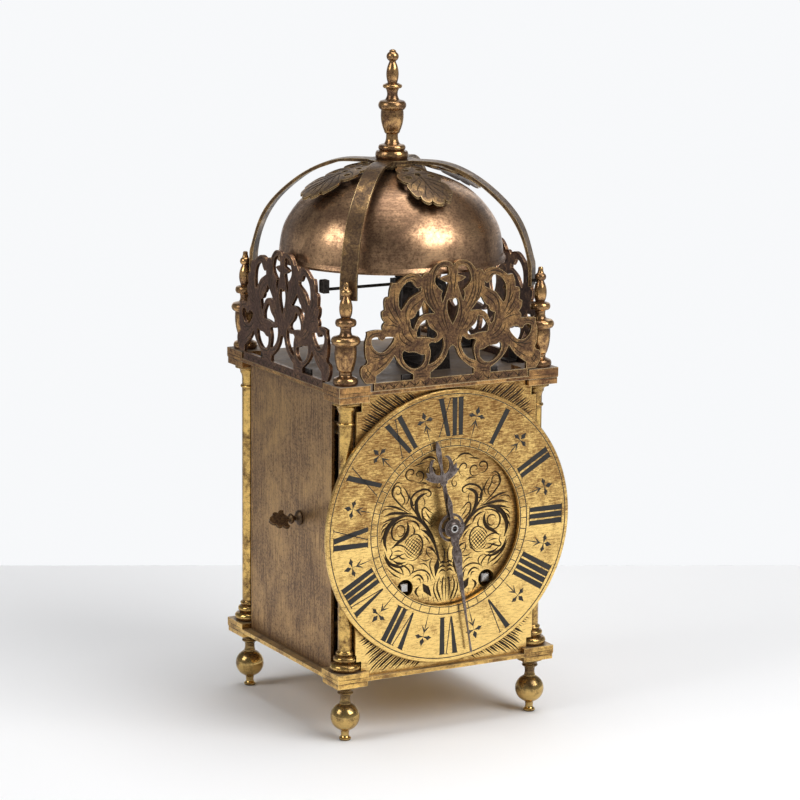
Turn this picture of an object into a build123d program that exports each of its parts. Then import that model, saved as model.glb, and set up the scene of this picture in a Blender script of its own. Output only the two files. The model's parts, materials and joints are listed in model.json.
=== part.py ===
from build123d import *
import os
from math import acos, atan2, cos, degrees, hypot, radians, sin, sqrt

# A brass lantern clock, 390 mm high. It stands on z = 0, its dial looks along -Y, and +X is to the
# right of someone in front of it. Lengths are millimetres, angles degrees.

# Driving dimensions: the case
PLATE = 144.0  # side of the square base and top plates
POST = 62.0  # pillars and feet stand this far from the middle, each way
FINIAL = 63.8  # the corner finials stand a little further out
BLOCK = 20.0  # side of a plate's corner block
BASE_LOW, BASE_TOP = 36.2, 38.4
TOP_LOW, TOP_TOP = 203.0, 205.0
BASE_BLOCK_LOW, BASE_BLOCK_TOP = 33.1, 41.4
TOP_BLOCK_LOW, TOP_BLOCK_TOP = 199.1, 208.7
GROOVE = 0.7
TENON = 2.5  # radius of the pillars' ends, which go through the blocks into feet and finials
FIT = 0.05  # radial clearance of a running or sliding fit
SNUG = 0.02  # radial clearance of pieces fixed in each other

# Driving dimensions: the dial, with its depths measured along Y from the middle of the case
CENTRE = (0.0, 121.4)  # x and z of the hands' axis
RING_FRONT, RING_BACK = -72.6, -70.6
RING_OUTER, RING_INNER = 80.4, 46.9
DIAL_FRONT, DIAL_BACK = -68.6, -66.6
DIAL_HALF = 59.0
KEY_HOLE = 5.25
KEY_SQUARE = 5.0
HOUR_HAND_FRONT, HOUR_HAND_BACK = -74.9, -73.9
MINUTE_HAND_FRONT, MINUTE_HAND_BACK = -77.0, -76.0
HAND_PIPE_END = -78.5
HOUR_HAND_AT, MINUTE_HAND_AT = -11.3, 170.2  # clockwise from XII

# Driving dimensions: the bell and its cage
RIM = 268.0
BELL_RADIUS = 67.3
CAGE_TOP = 326.3
STRAP_WIDTH = 10.0
STRAP_REACH = 86.1
STRAP_END = 256.0
STUD = 3.0
FINIAL_TIP = 390.0

# Driving dimensions: doors
DOOR_OUT, DOOR_IN = 66.0, 64.2
DOOR_HALF = 51.6
DOOR_LOW, DOOR_HIGH = 38.6, 200.2
HINGE_PIN = 1.2
HINGE_AT = 50.2
PULL_REACH = 86.0
KNOB_REACH = 78.5

# Driving dimensions: the movement, whose arbors lie along Y
FRONT_PLATE = (-52.0, -49.5)
BACK_PLATE = (2.0, 4.5)
MOVEMENT_HALF = 50.0
MOVEMENT_LOW, MOVEMENT_HIGH = 50.0, 180.0
PILLAR_X, PILLAR_LOW, PILLAR_HIGH = 46.0, 56.0, 174.0
PIVOT = 0.8
BARREL_X, BARREL_Z = 27.0, 86.9
BARREL_RADIUS, BARREL_FRONT, BARREL_BACK = 20.0, -44.0, -8.0
WINDING_ARBOR = 3.0

CORNERS = {
    "front_left": (-1, -1),
    "front_right": (1, -1),
    "back_left": (-1, 1),
    "back_right": (1, 1),
}
LIFT = (Align.CENTER, Align.CENTER, Align.MIN)

os.makedirs("parts", exist_ok=True)


def keep(piece, name):
    """Label a finished piece and write it."""
    piece.part.label = name
    export_step(piece.part, f"parts/{name}.step")


def turned_outline(*corners):
    """Half outline of a turned piece, from its axis round to its axis. A corner is a radius and a
    height; a third number makes the way to it an arc that stands that far proud, or hollow."""
    start = corners[0]
    for corner in corners[1:]:
        if len(corner) == 3:
            SagittaArc(start[:2], corner[:2], -corner[2])
        else:
            Line(start[:2], corner[:2])
        start = corner
    Line(start[:2], corners[0][:2])


def raised(height, *corners):
    """The same corners, lifted by a height."""
    return [(corner[0], corner[1] + height, *corner[2:]) for corner in corners]


def upright(x, y):
    """The plane through a vertical axis at x, y, for the outline of a piece turned about it."""
    return Plane((x, y, 0), x_dir=(1, 0, 0), z_dir=(0, -1, 0))


def across(y, x=0.0, z=0.0):
    """A plane across the clock at depth y, seen from the front, with its origin at x, z."""
    return Plane((x, y, z), x_dir=(1, 0, 0), z_dir=(0, -1, 0))


def along(x, z):
    """The plane through an arbor at x, z: its X is the radius and its Y is the clock's Y."""
    return Plane((x, 0, z), x_dir=(1, 0, 0), z_dir=(0, 0, 1))


def smooth_runs(*runs):
    """An outline of smooth runs that meet in sharp notches; two points are a straight run."""
    for run in runs:
        if len(run) == 2:
            Line(*run)
        else:
            Spline(*run)


# Base plate and top plate: cast squares with a thicker, grooved block under each pillar or finial
def corner_blocks(low, high):
    """The four corner blocks of a plate, each two slabs with a groove between them."""
    groove = low + 0.38 * (high - low)
    slabs = ((low, groove, BLOCK - 0.8), (groove, groove + GROOVE, BLOCK - 2), (groove + GROOVE, high, BLOCK))
    for bottom, top, side in slabs:
        with Locations((0, 0, bottom)):
            with GridLocations(2 * POST, 2 * POST, 2, 2):
                Box(side, side, top - bottom, align=LIFT)


HINGE_PINS = [(-(DOOR_OUT + DOOR_IN) / 2, HINGE_AT), ((DOOR_OUT + DOOR_IN) / 2, HINGE_AT),
              (HINGE_AT, (DOOR_OUT + DOOR_IN) / 2)]
ROD_X, ROD_Y, ROD_RADIUS = 5.0, -1.0, 1.2  # the wire that draws the hammer, where it leaves the case
for name, low, top, block_low, block_top in (
    ("base_plate", BASE_LOW, BASE_TOP, BASE_BLOCK_LOW, BASE_BLOCK_TOP),
    ("top_plate", TOP_LOW, TOP_TOP, TOP_BLOCK_LOW, TOP_BLOCK_TOP),
):
    with BuildPart() as plate:
        with Locations((0, 0, low)):
            Box(PLATE, PLATE, top - low, align=LIFT)
        chamfer(plate.edges().filter_by(Axis.Z).sort_by(Axis.X), 0.4)
        corner_blocks(block_low, block_top)
        with BuildSketch(Plane.XY.offset(block_low - 1)):
            with GridLocations(2 * POST, 2 * POST, 2, 2):
                Circle(TENON + SNUG)
            with Locations(*HINGE_PINS):
                Circle(HINGE_PIN + FIT)
            if name == "top_plate":
                with Locations((ROD_X, ROD_Y)):
                    Circle(ROD_RADIUS + 2 * FIT)
        extrude(amount=block_top - block_low + 2, mode=Mode.SUBTRACT)
    keep(plate, name)

# Feet, pillars and corner finials: turned brass. A pillar's two ends go through the corner blocks
# into the foot below and the finial above
TENON_LOW, TENON_HIGH = 26.5, 212.4
FOOT = [(0, 0), (3.2, 0), (3.4, 1.4, 0.2), (2.3, 3.6, -0.4), (2.5, 5.4), (3.4, 6.2), (3.4, 21.6, 5.1),
        (3.3, 22.4), (3.3, 27.0, -0.4), (4.2, 27.6), (4.2, 29.0, 0.5), (7.8, 31.9, -0.7), (7.8, 33.1),
        (0, 33.1)]
PILLAR = [(0, TENON_LOW), (TENON, TENON_LOW), (TENON, 41.4), (7.5, 41.4), (7.5, 46.0, 1.6), (5.8, 46.7),
          (5.8, 50.2, 1.3), (4.8, 50.9), (4.8, 52.9, 0.9), (4.5, 54.4, -0.2), (4.5, 185.0), (4.5, 187.0, 0.95),
          (4.5, 190.0), (5.6, 194.4, -0.4), (8.6, 197.4, -1.0), (8.6, 199.1), (TENON, 199.1),
          (TENON, TENON_HIGH), (0, TENON_HIGH)]
CORNER_FINIAL = [(0, 0), (6.5, 0), (6.5, 4.0, 0.7), (3.9, 5.2), (3.9, 7.6, -0.3), (4.5, 8.4), (6.1, 22.7, 0.8),
                 (7.1, 22.9), (7.1, 27.5, 1.3), (3.8, 28.4), (3.4, 33.0, -0.5), (5.4, 33.7), (5.4, 37.3, 0.65),
                 (2.7, 38.2), (2.3, 49.6, 1.3), (2.0, 50.4), (2.0, 54.8, 1.3), (1.9, 55.2), (1.5, 57.8, -0.15),
                 (1.0, 58.5), (0, 58.5)]
for corner, (side_x, side_y) in CORNERS.items():
    x, y = side_x * POST, side_y * POST
    with BuildPart() as foot:
        with BuildSketch(upright(x, y)):
            with BuildLine():
                turned_outline(*FOOT)
            make_face()
        revolve(axis=Axis((x, y, 0), (0, 0, 1)))
        with Locations((x, y, TENON_LOW - 1)):
            Cylinder(TENON + SNUG, 10, align=LIFT, mode=Mode.SUBTRACT)
    keep(foot, f"foot_{corner}")

    with BuildPart() as pillar:
        with BuildSketch(upright(x, y)):
            with BuildLine():
                turned_outline(*PILLAR)
            make_face()
        revolve(axis=Axis((x, y, 0), (0, 0, 1)))
    keep(pillar, f"pillar_{corner}")

    # The strap's screw goes into the finial just under its bead
    with BuildPart() as finial:
        with BuildSketch(upright(side_x * FINIAL, side_y * FINIAL)):
            with BuildLine():
                turned_outline(*raised(TOP_BLOCK_TOP, *CORNER_FINIAL))
            make_face()
        revolve(axis=Axis((side_x * FINIAL, side_y * FINIAL, 0), (0, 0, 1)))
        with Locations((x, y, TOP_BLOCK_TOP - 1)):
            Cylinder(TENON + SNUG, TENON_HIGH - TOP_BLOCK_TOP + 1.2, align=LIFT, mode=Mode.SUBTRACT)
        inward = Plane((side_x * FINIAL, side_y * FINIAL, STRAP_END + 3.0), x_dir=(0, 0, 1),
                       z_dir=(-side_x, -side_y, 0))
        with BuildSketch(inward):
            Circle(1.0 + SNUG)
        extrude(amount=8, mode=Mode.SUBTRACT)
    keep(finial, f"corner_finial_{corner}")

# Front plate: carries the dial and stands between the base and top plates in front of the pillars'
# axis. Its corners are cut away for the corner blocks and round the pillars' mouldings
BLOCK_NOTCHES = ((BASE_TOP, BASE_BLOCK_TOP + 0.3), (TOP_BLOCK_LOW - 0.3, TOP_LOW))
MOULDING_NOTCHES = ((BASE_TOP, 47.2, 9.5), (BASE_TOP, 51.2, 7.5), (BASE_TOP, 54.6, 6.1), (193.2, TOP_LOW, 9.0))
with BuildPart() as front_plate:
    with BuildSketch(across(DIAL_BACK)):
        with Locations((0, (BASE_TOP + TOP_LOW) / 2)):
            Rectangle(2 * DIAL_HALF, TOP_LOW - BASE_TOP)
        with Locations((-BARREL_X, BARREL_Z), (BARREL_X, BARREL_Z)):
            Circle(KEY_HOLE, mode=Mode.SUBTRACT)
        with Locations(CENTRE):
            Circle(4.0, mode=Mode.SUBTRACT)
            with PolarLocations(66.0, 4, start_angle=45):
                Circle(2.0 + SNUG, mode=Mode.SUBTRACT)
    extrude(amount=DIAL_BACK - DIAL_FRONT)
    for side in (-1, 1):
        for low, high in BLOCK_NOTCHES:
            with Locations((side * POST, -POST, low)):
                Box(BLOCK + 0.4, BLOCK + 0.4, high - low, align=LIFT, mode=Mode.SUBTRACT)
        for low, high, radius in MOULDING_NOTCHES:
            with Locations((side * POST, -POST, low)):
                Cylinder(radius, high - low, align=LIFT, mode=Mode.SUBTRACT)
keep(front_plate, "front_plate")

# Chapter ring: flat brass ring on four short feet riveted through the front plate. Turned lines
# border the numerals and the quarter-hour track, and 48 short cuts divide the track
TRACK_OUTER, TRACK_INNER, BORDER = 51.7, 47.5, 77.9
QUARTERS = 48
LINE_DEPTH, LINE_WIDTH = 0.25, 0.4
with BuildPart() as chapter_ring:
    with BuildSketch(across(RING_BACK, *CENTRE)):
        Circle(RING_OUTER)
        Circle(RING_INNER, mode=Mode.SUBTRACT)
    extrude(amount=RING_BACK - RING_FRONT)
    chamfer(chapter_ring.edges().filter_by(GeomType.CIRCLE).group_by(Axis.Y)[0].sort_by(SortBy.RADIUS)[-1], 0.5)
    with BuildSketch(across(RING_FRONT + LINE_DEPTH, *CENTRE)):
        for radius in (BORDER, TRACK_OUTER, TRACK_INNER):
            Circle(radius + LINE_WIDTH / 2)
            Circle(radius - LINE_WIDTH / 2, mode=Mode.SUBTRACT)
        with PolarLocations((TRACK_OUTER + TRACK_INNER) / 2, QUARTERS):
            Rectangle(TRACK_OUTER - TRACK_INNER - LINE_WIDTH / 2, LINE_WIDTH)
    extrude(amount=2 * LINE_DEPTH, mode=Mode.SUBTRACT)
    with BuildSketch(across(DIAL_BACK + 0.8, *CENTRE)):
        with PolarLocations(66.0, 4, start_angle=45):
            Circle(2.0)
    extrude(amount=DIAL_BACK + 0.8 - RING_BACK)
keep(chapter_ring, "chapter_ring")

# Frets: pierced and engraved brass, the same on three sides, screwed to brackets behind their feet.
# Half of one, from its axis: distance out, and height above the top plate
FRET_EDGE = (
    [(0, 67.6), (1.4, 70.2), (4.6, 71.2), (8.4, 70.9), (11.6, 69.0), (14.2, 66.0)],
    [(14.2, 66.0), (15.2, 65.0)],
    [(15.2, 65.0), (17.4, 65.4), (19.4, 64.2), (20.4, 62.2)],
    [(20.4, 62.2), (21.0, 63.8), (23.6, 65.2), (26.6, 65.6), (30.0, 64.8), (33.6, 62.6), (36.4, 60.6)],
    [(36.4, 60.6), (39.4, 60.9)],
    [(39.4, 60.9), (40.8, 57.4), (41.2, 53.2)],
    [(41.2, 53.2), (43.9, 52.2), (44.3, 49.0), (44.0, 45.9)],
    [(44.0, 45.9), (45.8, 45.0)],
    [(45.8, 45.0), (45.6, 41.6), (43.8, 38.8)],
    [(43.8, 38.8), (45.4, 36.8), (45.2, 34.6)],
    [(45.2, 34.6), (50.6, 34.9), (55.4, 34.1)],
    [(55.4, 34.1), (55.2, 32.4), (56.2, 29.0), (56.5, 25.4), (56.2, 21.6), (55.8, 18.9)],
    [(55.8, 18.9), (55.0, 17.4), (56.4, 15.4)],
    [(56.4, 15.4), (58.4, 14.4), (59.2, 11.4), (57.8, 7.4), (55.6, 4.6)],
    [(55.6, 4.6), (50.5, 4.6)],
    [(50.5, 4.6), (50.5, 0)],
    [(50.5, 0), (0, 0)],
    [(0, 0), (0, 67.6)],
)
FRET_OPENINGS = (
    ([(6.7, 47.4), (7.4, 49.4), (7.7, 51.6), (6.7, 54.0)],
     [(6.7, 54.0), (8.8, 55.6), (10.9, 57.8), (11.9, 60.2), (11.2, 63.4), (9.4, 66.6), (6.4, 68.2),
      (3.6, 67.9)],
     [(3.6, 67.9), (2.9, 65.5), (2.9, 62.9)],
     [(2.9, 62.9), (5.6, 62.3), (8.3, 61.1)],
     [(8.3, 61.1), (5.6, 59.5), (2.8, 58.6)],
     [(2.8, 58.6), (3.4, 56.2), (4.3, 53.6), (6.7, 47.4)]),
    ([(33.6, 44.9), (35.0, 47.2), (35.3, 50.5), (34.9, 54.4), (33.6, 57.4), (31.4, 59.8), (28.6, 61.2),
      (26.4, 60.9)],
     [(26.4, 60.9), (25.0, 58.6), (22.8, 56.9), (20.9, 58.0)],
     [(20.9, 58.0), (20.8, 55.0)],
     [(20.8, 55.0), (25.6, 52.7), (28.8, 50.6), (31.0, 47.8), (33.6, 44.9)]),
    ([(25.3, 33.2), (26.8, 34.4), (27.5, 36.8), (28.2, 39.6)],
     [(28.2, 39.6), (26.0, 40.1), (24.2, 41.6), (23.6, 43.6)],
     [(23.6, 43.6), (21.3, 45.2), (20.0, 47.3), (18.8, 49.4)],
     [(18.8, 49.4), (15.6, 46.0), (11.6, 41.5)],
     [(11.6, 41.5), (16.0, 41.8), (20.0, 40.9), (22.6, 38.8), (24.0, 36.2), (25.3, 33.2)]),
    ([(22.9, 28.6), (23.4, 31.5), (21.8, 35.0), (19.6, 37.5), (16.6, 38.4)],
     [(16.6, 38.4), (15.7, 35.3), (13.4, 32.7), (10.9, 31.0), (10.0, 28.9), (11.8, 27.4), (15.0, 27.9),
      (18.5, 28.5), (22.9, 28.6)]),
    ([(15.6, 12.4), (14.9, 15.0), (14.2, 18.0), (14.5, 21.0), (15.6, 23.8)],
     [(15.6, 23.8), (13.4, 25.2), (10.4, 24.9), (8.4, 26.0), (6.6, 27.4)],
     [(6.6, 27.4), (5.6, 24.6), (6.0, 20.6), (8.0, 16.8), (11.2, 14.0), (15.6, 12.4)]),
    ([(31.3, 22.0), (32.6, 20.0), (32.2, 17.2), (30.6, 14.4), (28.0, 12.0), (25.0, 10.8), (21.5, 11.3),
      (19.0, 13.2), (17.8, 16.0), (18.0, 18.6)],
     [(18.0, 18.6), (21.2, 18.9), (24.2, 20.3), (28.0, 20.5), (31.3, 22.0)]),
    ([(37.5, 29.6), (39.6, 30.2), (41.8, 30.5), (43.6, 30.4)],
     [(43.6, 30.4), (44.6, 29.0), (46.2, 28.7), (47.4, 30.2)],
     [(47.4, 30.2), (50.0, 30.9), (52.2, 30.0), (52.5, 27.8), (51.2, 25.0), (49.2, 22.9), (46.4, 21.8),
      (43.6, 22.4), (40.8, 24.6), (38.6, 27.2), (37.5, 29.6)]),
)
FRET_FOOT_GAP = ([(49.6, 4.6), (49.4, 8.7)],
                 [(49.4, 8.7), (45.8, 11.0), (42.4, 13.6), (39.6, 16.8), (37.5, 19.6)],
                 [(37.5, 19.6), (36.4, 17.4), (34.4, 14.5), (31.0, 11.4), (27.6, 9.0), (25.3, 7.6)],
                 [(25.3, 7.6), (25.3, 4.6)],
                 [(25.3, 4.6), (49.6, 4.6)])
FRET_MIDDLE_GAP = ([(0, 4.6), (14.3, 4.6)],
                   [(14.3, 4.6), (14.3, 7.8)],
                   [(14.3, 7.8), (10.2, 10.4), (6.4, 13.6), (3.6, 17.6), (1.8, 21.4), (0, 22.4)],
                   [(0, 22.4), (0, 4.6)])
FRET_DROP = ([(0, 34.6), (2.6, 39.4), (3.8, 43.4), (3.8, 47.0), (2.6, 49.2), (1.0, 49.4), (0, 47.8)],
             [(0, 47.8), (0, 34.6)])
FRET_OUT, FRET_THICK = 71.5, 2.0
FRET_SHIFT = 1.0  # the front fret stands this far to the right of the middle
FRET_PLANES = {
    "front_fret": Plane((FRET_SHIFT, FRET_THICK - FRET_OUT, TOP_TOP), x_dir=(1, 0, 0), z_dir=(0, -1, 0)),
    "left_fret": Plane((FRET_THICK - FRET_OUT, 0, TOP_TOP), x_dir=(0, -1, 0), z_dir=(-1, 0, 0)),
    "right_fret": Plane((FRET_OUT - FRET_THICK, 0, TOP_TOP), x_dir=(0, 1, 0), z_dir=(1, 0, 0)),
}
for name, plane in FRET_PLANES.items():
    with BuildPart() as fret:
        with BuildSketch(plane) as outline:
            with BuildLine():
                smooth_runs(*FRET_EDGE)
            make_face()
            for opening in (*FRET_OPENINGS, FRET_FOOT_GAP, FRET_MIDDLE_GAP, FRET_DROP):
                with BuildLine():
                    smooth_runs(*opening)
                make_face(mode=Mode.SUBTRACT)
            mirror(about=Plane.YZ)
        extrude(amount=FRET_THICK)
    keep(fret, name)

# Bell: a bronze bowl with a turned lip, hung mouth down under the cage
BELL_TOP, BELL_WALL = 321.0, 1.7
with BuildPart() as bell:
    with BuildSketch(Plane.XZ):
        with BuildLine():
            Line((STUD + FIT, BELL_TOP - BELL_WALL), (STUD + FIT, BELL_TOP))
            Spline((STUD + FIT, BELL_TOP), (30.5, 315.8), (46, 308.3), (61.2, 291), (65.9, RIM + 3.5),
                   tangents=((1, 0), (0.1, -1)))
            Line((65.9, RIM + 3.5), (BELL_RADIUS, RIM + 1.2))
            Line((BELL_RADIUS, RIM + 1.2), (BELL_RADIUS, RIM))
            Line((BELL_RADIUS, RIM), (64.8, RIM))
            Line((64.8, RIM), (64.2, RIM + 3.5))
            Spline((64.2, RIM + 3.5), (59.6, 290.3), (45.0, 306.9), (29.9, 314.2),
                   (STUD + FIT, BELL_TOP - BELL_WALL), tangents=((-0.1, 1), (-1, 0)))
        make_face()
    revolve(axis=Axis.Z)
keep(bell, "bell")

# Bell cage: one brass casting of a hub, four straps that come down the corners, and four pierced
# leaves that lie over the bell towards the sides. A boss under the hub rests on the bell
STRAP_THICK = 2.0
STRAP_INSIDE = STRAP_REACH - STRAP_THICK
STRAP_FLAT, STRAP_BEND = 20.0, 262.0  # the strap is flat out to here, and straight below here
SCREW = 1.0
HUB_RADIUS, HUB_LOW = 14.0, 323.0
LEAF_DOME = (79.5, 57.0)  # half width and height of the dome that the leaves follow, from the rim
LEAF_THICK = 1.2
LEAF_EDGE = (
    [(0, 6), (3.6, 6)],
    [(3.6, 6), (4.6, 14), (7.0, 19)],
    [(7.0, 19), (9.6, 22.4), (9.0, 26.4)],
    [(9.0, 26.4), (12.2, 28.4), (13.2, 33.4), (11.6, 37.6), (8.4, 39.2)],
    [(8.4, 39.2), (12.2, 40.6), (12.9, 46.2), (11.0, 51.4), (8.8, 51.0)],
    [(8.8, 51.0), (9.0, 54.4), (6.2, 56.4), (4.0, 54.8)],
    [(4.0, 54.8), (2.6, 57.4), (0, 58.0)],
    [(0, 58.0), (0, 6)],
)
LEAF_HOLES = [(0, 17.5), (0, 31.0)]
LEAF_SIDE_HOLES = [(4.2, 24.0), (7.3, 33.4)]
LEAF_HOLE = 1.9
STRAP_OUTER = [(34.0, 324.9), (47.8, 319.6), (60.0, 311.6), (72.0, 300.4), (80.5, 286.6), (85.4, 270.5)]
STRAP_INNER = [(83.4, 270.1), (78.7, 285.8), (70.4, 299.1), (58.8, 310.0), (46.9, 317.8), (33.5, 323.0)]
with BuildPart() as bell_cage:
    with BuildSketch(Plane.XZ):
        with BuildLine():
            EllipticalCenterArc((0, RIM), LEAF_DOME[0], LEAF_DOME[1], 0, arc_size=90)
            EllipticalCenterArc((0, RIM), LEAF_DOME[0] - LEAF_THICK, LEAF_DOME[1] - LEAF_THICK, 0, arc_size=90)
            Line((LEAF_DOME[0] - LEAF_THICK, RIM), (LEAF_DOME[0], RIM))
            Line((0, RIM + LEAF_DOME[1] - LEAF_THICK), (0, RIM + LEAF_DOME[1]))
        make_face()
    revolve(axis=Axis.Z)
    with BuildSketch(*[Plane((0, 0, RIM)).rotated((0, 0, turn)) for turn in (0, 90, 180, 270)]):
        with BuildLine():
            smooth_runs(*LEAF_EDGE)
        make_face()
        with Locations(*LEAF_SIDE_HOLES):
            Circle(LEAF_HOLE, mode=Mode.SUBTRACT)
        mirror(about=Plane.YZ)
        with Locations(*LEAF_HOLES):
            Circle(LEAF_HOLE, mode=Mode.SUBTRACT)
    extrude(amount=70, mode=Mode.INTERSECT)
    for side_x, side_y in CORNERS.values():
        with BuildSketch(Plane((0, 0, 0), x_dir=(side_x, side_y, 0), z_dir=(side_y, -side_x, 0))):
            with BuildLine():
                Line((0, CAGE_TOP), (STRAP_FLAT, CAGE_TOP))
                Spline((STRAP_FLAT, CAGE_TOP), *STRAP_OUTER, (STRAP_REACH, STRAP_BEND),
                       tangents=((1, 0), (0, -1)))
                Polyline((STRAP_REACH, STRAP_BEND), (STRAP_REACH, STRAP_END), (STRAP_INSIDE, STRAP_END),
                         (STRAP_INSIDE, STRAP_BEND))
                Spline((STRAP_INSIDE, STRAP_BEND), *STRAP_INNER, (STRAP_FLAT, CAGE_TOP - STRAP_THICK),
                       tangents=((0, 1), (-1, 0)))
                Polyline((STRAP_FLAT, CAGE_TOP - STRAP_THICK), (0, CAGE_TOP - STRAP_THICK), (0, CAGE_TOP))
            make_face()
        extrude(amount=STRAP_WIDTH / 2, both=True)
        with BuildSketch(Plane((0, 0, STRAP_END + 3.0), x_dir=(0, 0, 1), z_dir=(side_x, side_y, 0))):
            Circle(SCREW + SNUG)
        extrude(amount=STRAP_REACH + 5, mode=Mode.SUBTRACT)
    with Locations((0, 0, HUB_LOW)):
        Cylinder(HUB_RADIUS, CAGE_TOP - HUB_LOW, align=LIFT)
    with Locations((0, 0, BELL_TOP)):
        Cylinder(7.5, HUB_LOW - BELL_TOP, align=LIFT)
        Cylinder(STUD + SNUG, CAGE_TOP - BELL_TOP, align=LIFT, mode=Mode.SUBTRACT)
keep(bell_cage, "bell_cage")

# Top finial, turned, whose stud goes down through the hub and the bell to a nut inside the bell
NUT_LOW = 314.3
NUT_GAP = 0.2
FINIAL_BASE = [(9.0, 0), (9.0, 4.7, 0.7), (7.1, 5.0), (7.1, 8.3, 0.9), (4.7, 8.8), (3.5, 12.8, -0.3),
               (3.5, 14.6), (4.7, 16.3, 0.3), (6.5, 28.6, 0.9), (7.0, 28.8), (7.0, 33.8, 1.2), (4.2, 34.6),
               (4.0, 41.0, -1.0),
               (5.1, 41.3), (5.1, 43.4, 0.6), (2.8, 44.4), (2.0, 56.3, 1.2), (2.0, 57.0), (2.0, 62.2, 1.6),
               (2.0, 63.0), (0.8, FINIAL_TIP - CAGE_TOP), (0, FINIAL_TIP - CAGE_TOP)]
with BuildPart() as top_finial:
    with BuildSketch(Plane.XZ):
        with BuildLine():
            turned_outline((0, NUT_LOW - 2), (STUD, NUT_LOW - 2), (STUD, CAGE_TOP),
                           *raised(CAGE_TOP, *FINIAL_BASE))
        make_face()
    revolve(axis=Axis.Z)
keep(top_finial, "top_finial")

# Hammer: an iron arbor on a stand on the top plate, with a wedge-shaped lever, a wire arm and a
# square head under the bell's rim, and a tail that the rod from the movement draws down
HAMMER_X, HAMMER_Z = 15.0, 254.0
HAMMER_ARBOR = 1.6
HAMMER_ENDS = (-31.5, 5.5)
LEVER_FRONT, LEVER_BACK = -28.0, -24.0
HEAD_X, HEAD_Y, HEAD_Z = -58.5, -27.0, 259.0
HEAD_SIZE = (4.5, 5.0, 7.6)
WIRE_Z, WIRE_RADIUS = 257.0, 0.9
TAIL_FRONT, TAIL_BACK, TAIL_LOW, TAIL_THICK = -4.0, 2.0, 252.6, 3.0
STAND_UPRIGHTS = ((-31.0, -29.0), (3.0, 5.0))
with BuildPart() as hammer:
    with BuildSketch(across(HAMMER_ENDS[1], HAMMER_X, HAMMER_Z)):
        Circle(HAMMER_ARBOR)
    extrude(amount=HAMMER_ENDS[1] - HAMMER_ENDS[0])
    with BuildSketch(across(LEVER_BACK)):
        with BuildLine():
            Polyline((HAMMER_X, HAMMER_Z - 4), (-6, WIRE_Z - 1.6), (-6, WIRE_Z + 1.6), (HAMMER_X, HAMMER_Z + 4))
            ThreePointArc((HAMMER_X, HAMMER_Z + 4), (HAMMER_X + 4, HAMMER_Z), (HAMMER_X, HAMMER_Z - 4))
        make_face()
    extrude(amount=LEVER_BACK - LEVER_FRONT)
    with BuildSketch(across(TAIL_BACK)):
        with BuildLine():
            Polyline((HAMMER_X, HAMMER_Z - 3.6), (HAMMER_X - 4, TAIL_LOW), (ROD_X - 4.5, TAIL_LOW),
                     (ROD_X - 4.5, TAIL_LOW + TAIL_THICK), (HAMMER_X - 4, TAIL_LOW + TAIL_THICK),
                     (HAMMER_X, HAMMER_Z + 3.6))
            ThreePointArc((HAMMER_X, HAMMER_Z + 3.6), (HAMMER_X + 3.6, HAMMER_Z), (HAMMER_X, HAMMER_Z - 3.6))
        make_face()
    extrude(amount=TAIL_BACK - TAIL_FRONT)
    with BuildSketch(Plane.XY.offset(TAIL_LOW - 1)):
        with Locations((ROD_X, ROD_Y)):
            SlotOverall(5.2, 2 * ROD_RADIUS + 0.6)
    extrude(amount=TAIL_THICK + 2, mode=Mode.SUBTRACT)
    with BuildSketch(Plane((-5, (LEVER_FRONT + LEVER_BACK) / 2, WIRE_Z), x_dir=(0, 1, 0), z_dir=(-1, 0, 0))):
        Circle(WIRE_RADIUS)
    extrude(amount=-5 - HEAD_X)
    with Locations((HEAD_X, HEAD_Y, HEAD_Z)):
        Box(*HEAD_SIZE)
    chamfer(hammer.faces().sort_by(Axis.X)[0].edges(), 0.8)
keep(hammer, "hammer")

with BuildPart() as hammer_stand:
    with Locations((HAMMER_X, (STAND_UPRIGHTS[0][0] + STAND_UPRIGHTS[1][1]) / 2, TOP_TOP)):
        Box(16, STAND_UPRIGHTS[1][1] - STAND_UPRIGHTS[0][0], 2.5, align=LIFT)
    for front, back in STAND_UPRIGHTS:
        with BuildSketch(across(back)):
            with BuildLine():
                Polyline((HAMMER_X - 5, HAMMER_Z), (HAMMER_X - 8, TOP_TOP), (HAMMER_X + 8, TOP_TOP),
                         (HAMMER_X + 5, HAMMER_Z))
                ThreePointArc((HAMMER_X + 5, HAMMER_Z), (HAMMER_X, HAMMER_Z + 5), (HAMMER_X - 5, HAMMER_Z))
            make_face()
            with Locations((HAMMER_X, HAMMER_Z)):
                Circle(HAMMER_ARBOR + FIT, mode=Mode.SUBTRACT)
        extrude(amount=back - front)
keep(hammer_stand, "hammer_stand")

# The rod hangs in the tail's slot by a collar and goes down through the top plate. Above the
# movement it is cranked to the left, so that its foot stands beside the pins of the striking train
ROD_FOOT_X, ROD_LOW = -13.0, 104.0
CRANK_LOW, CRANK_HIGH = 186.0, 188.4
COLLAR_GAP = 0.7
with BuildPart() as lifting_rod:
    with Locations((ROD_X, ROD_Y, CRANK_LOW)):
        Cylinder(ROD_RADIUS, TAIL_LOW + TAIL_THICK + 3.5 - CRANK_LOW, align=LIFT)
    with Locations(((ROD_X + ROD_FOOT_X) / 2, ROD_Y, CRANK_LOW)):
        Box(ROD_X - ROD_FOOT_X, 2 * ROD_RADIUS, CRANK_HIGH - CRANK_LOW, align=LIFT)
    with Locations((ROD_FOOT_X, ROD_Y, ROD_LOW)):
        Cylinder(ROD_RADIUS, CRANK_HIGH - ROD_LOW, align=LIFT)
    with Locations((ROD_X, ROD_Y, TAIL_LOW + TAIL_THICK + COLLAR_GAP)):
        Cylinder(2.6, 1.8, align=LIFT)
    with Locations((ROD_FOOT_X + 1.0, ROD_Y, ROD_LOW)):
        Box(4.0, 2 * ROD_RADIUS, 3.0, align=LIFT)
keep(lifting_rod, "lifting_rod")

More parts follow.
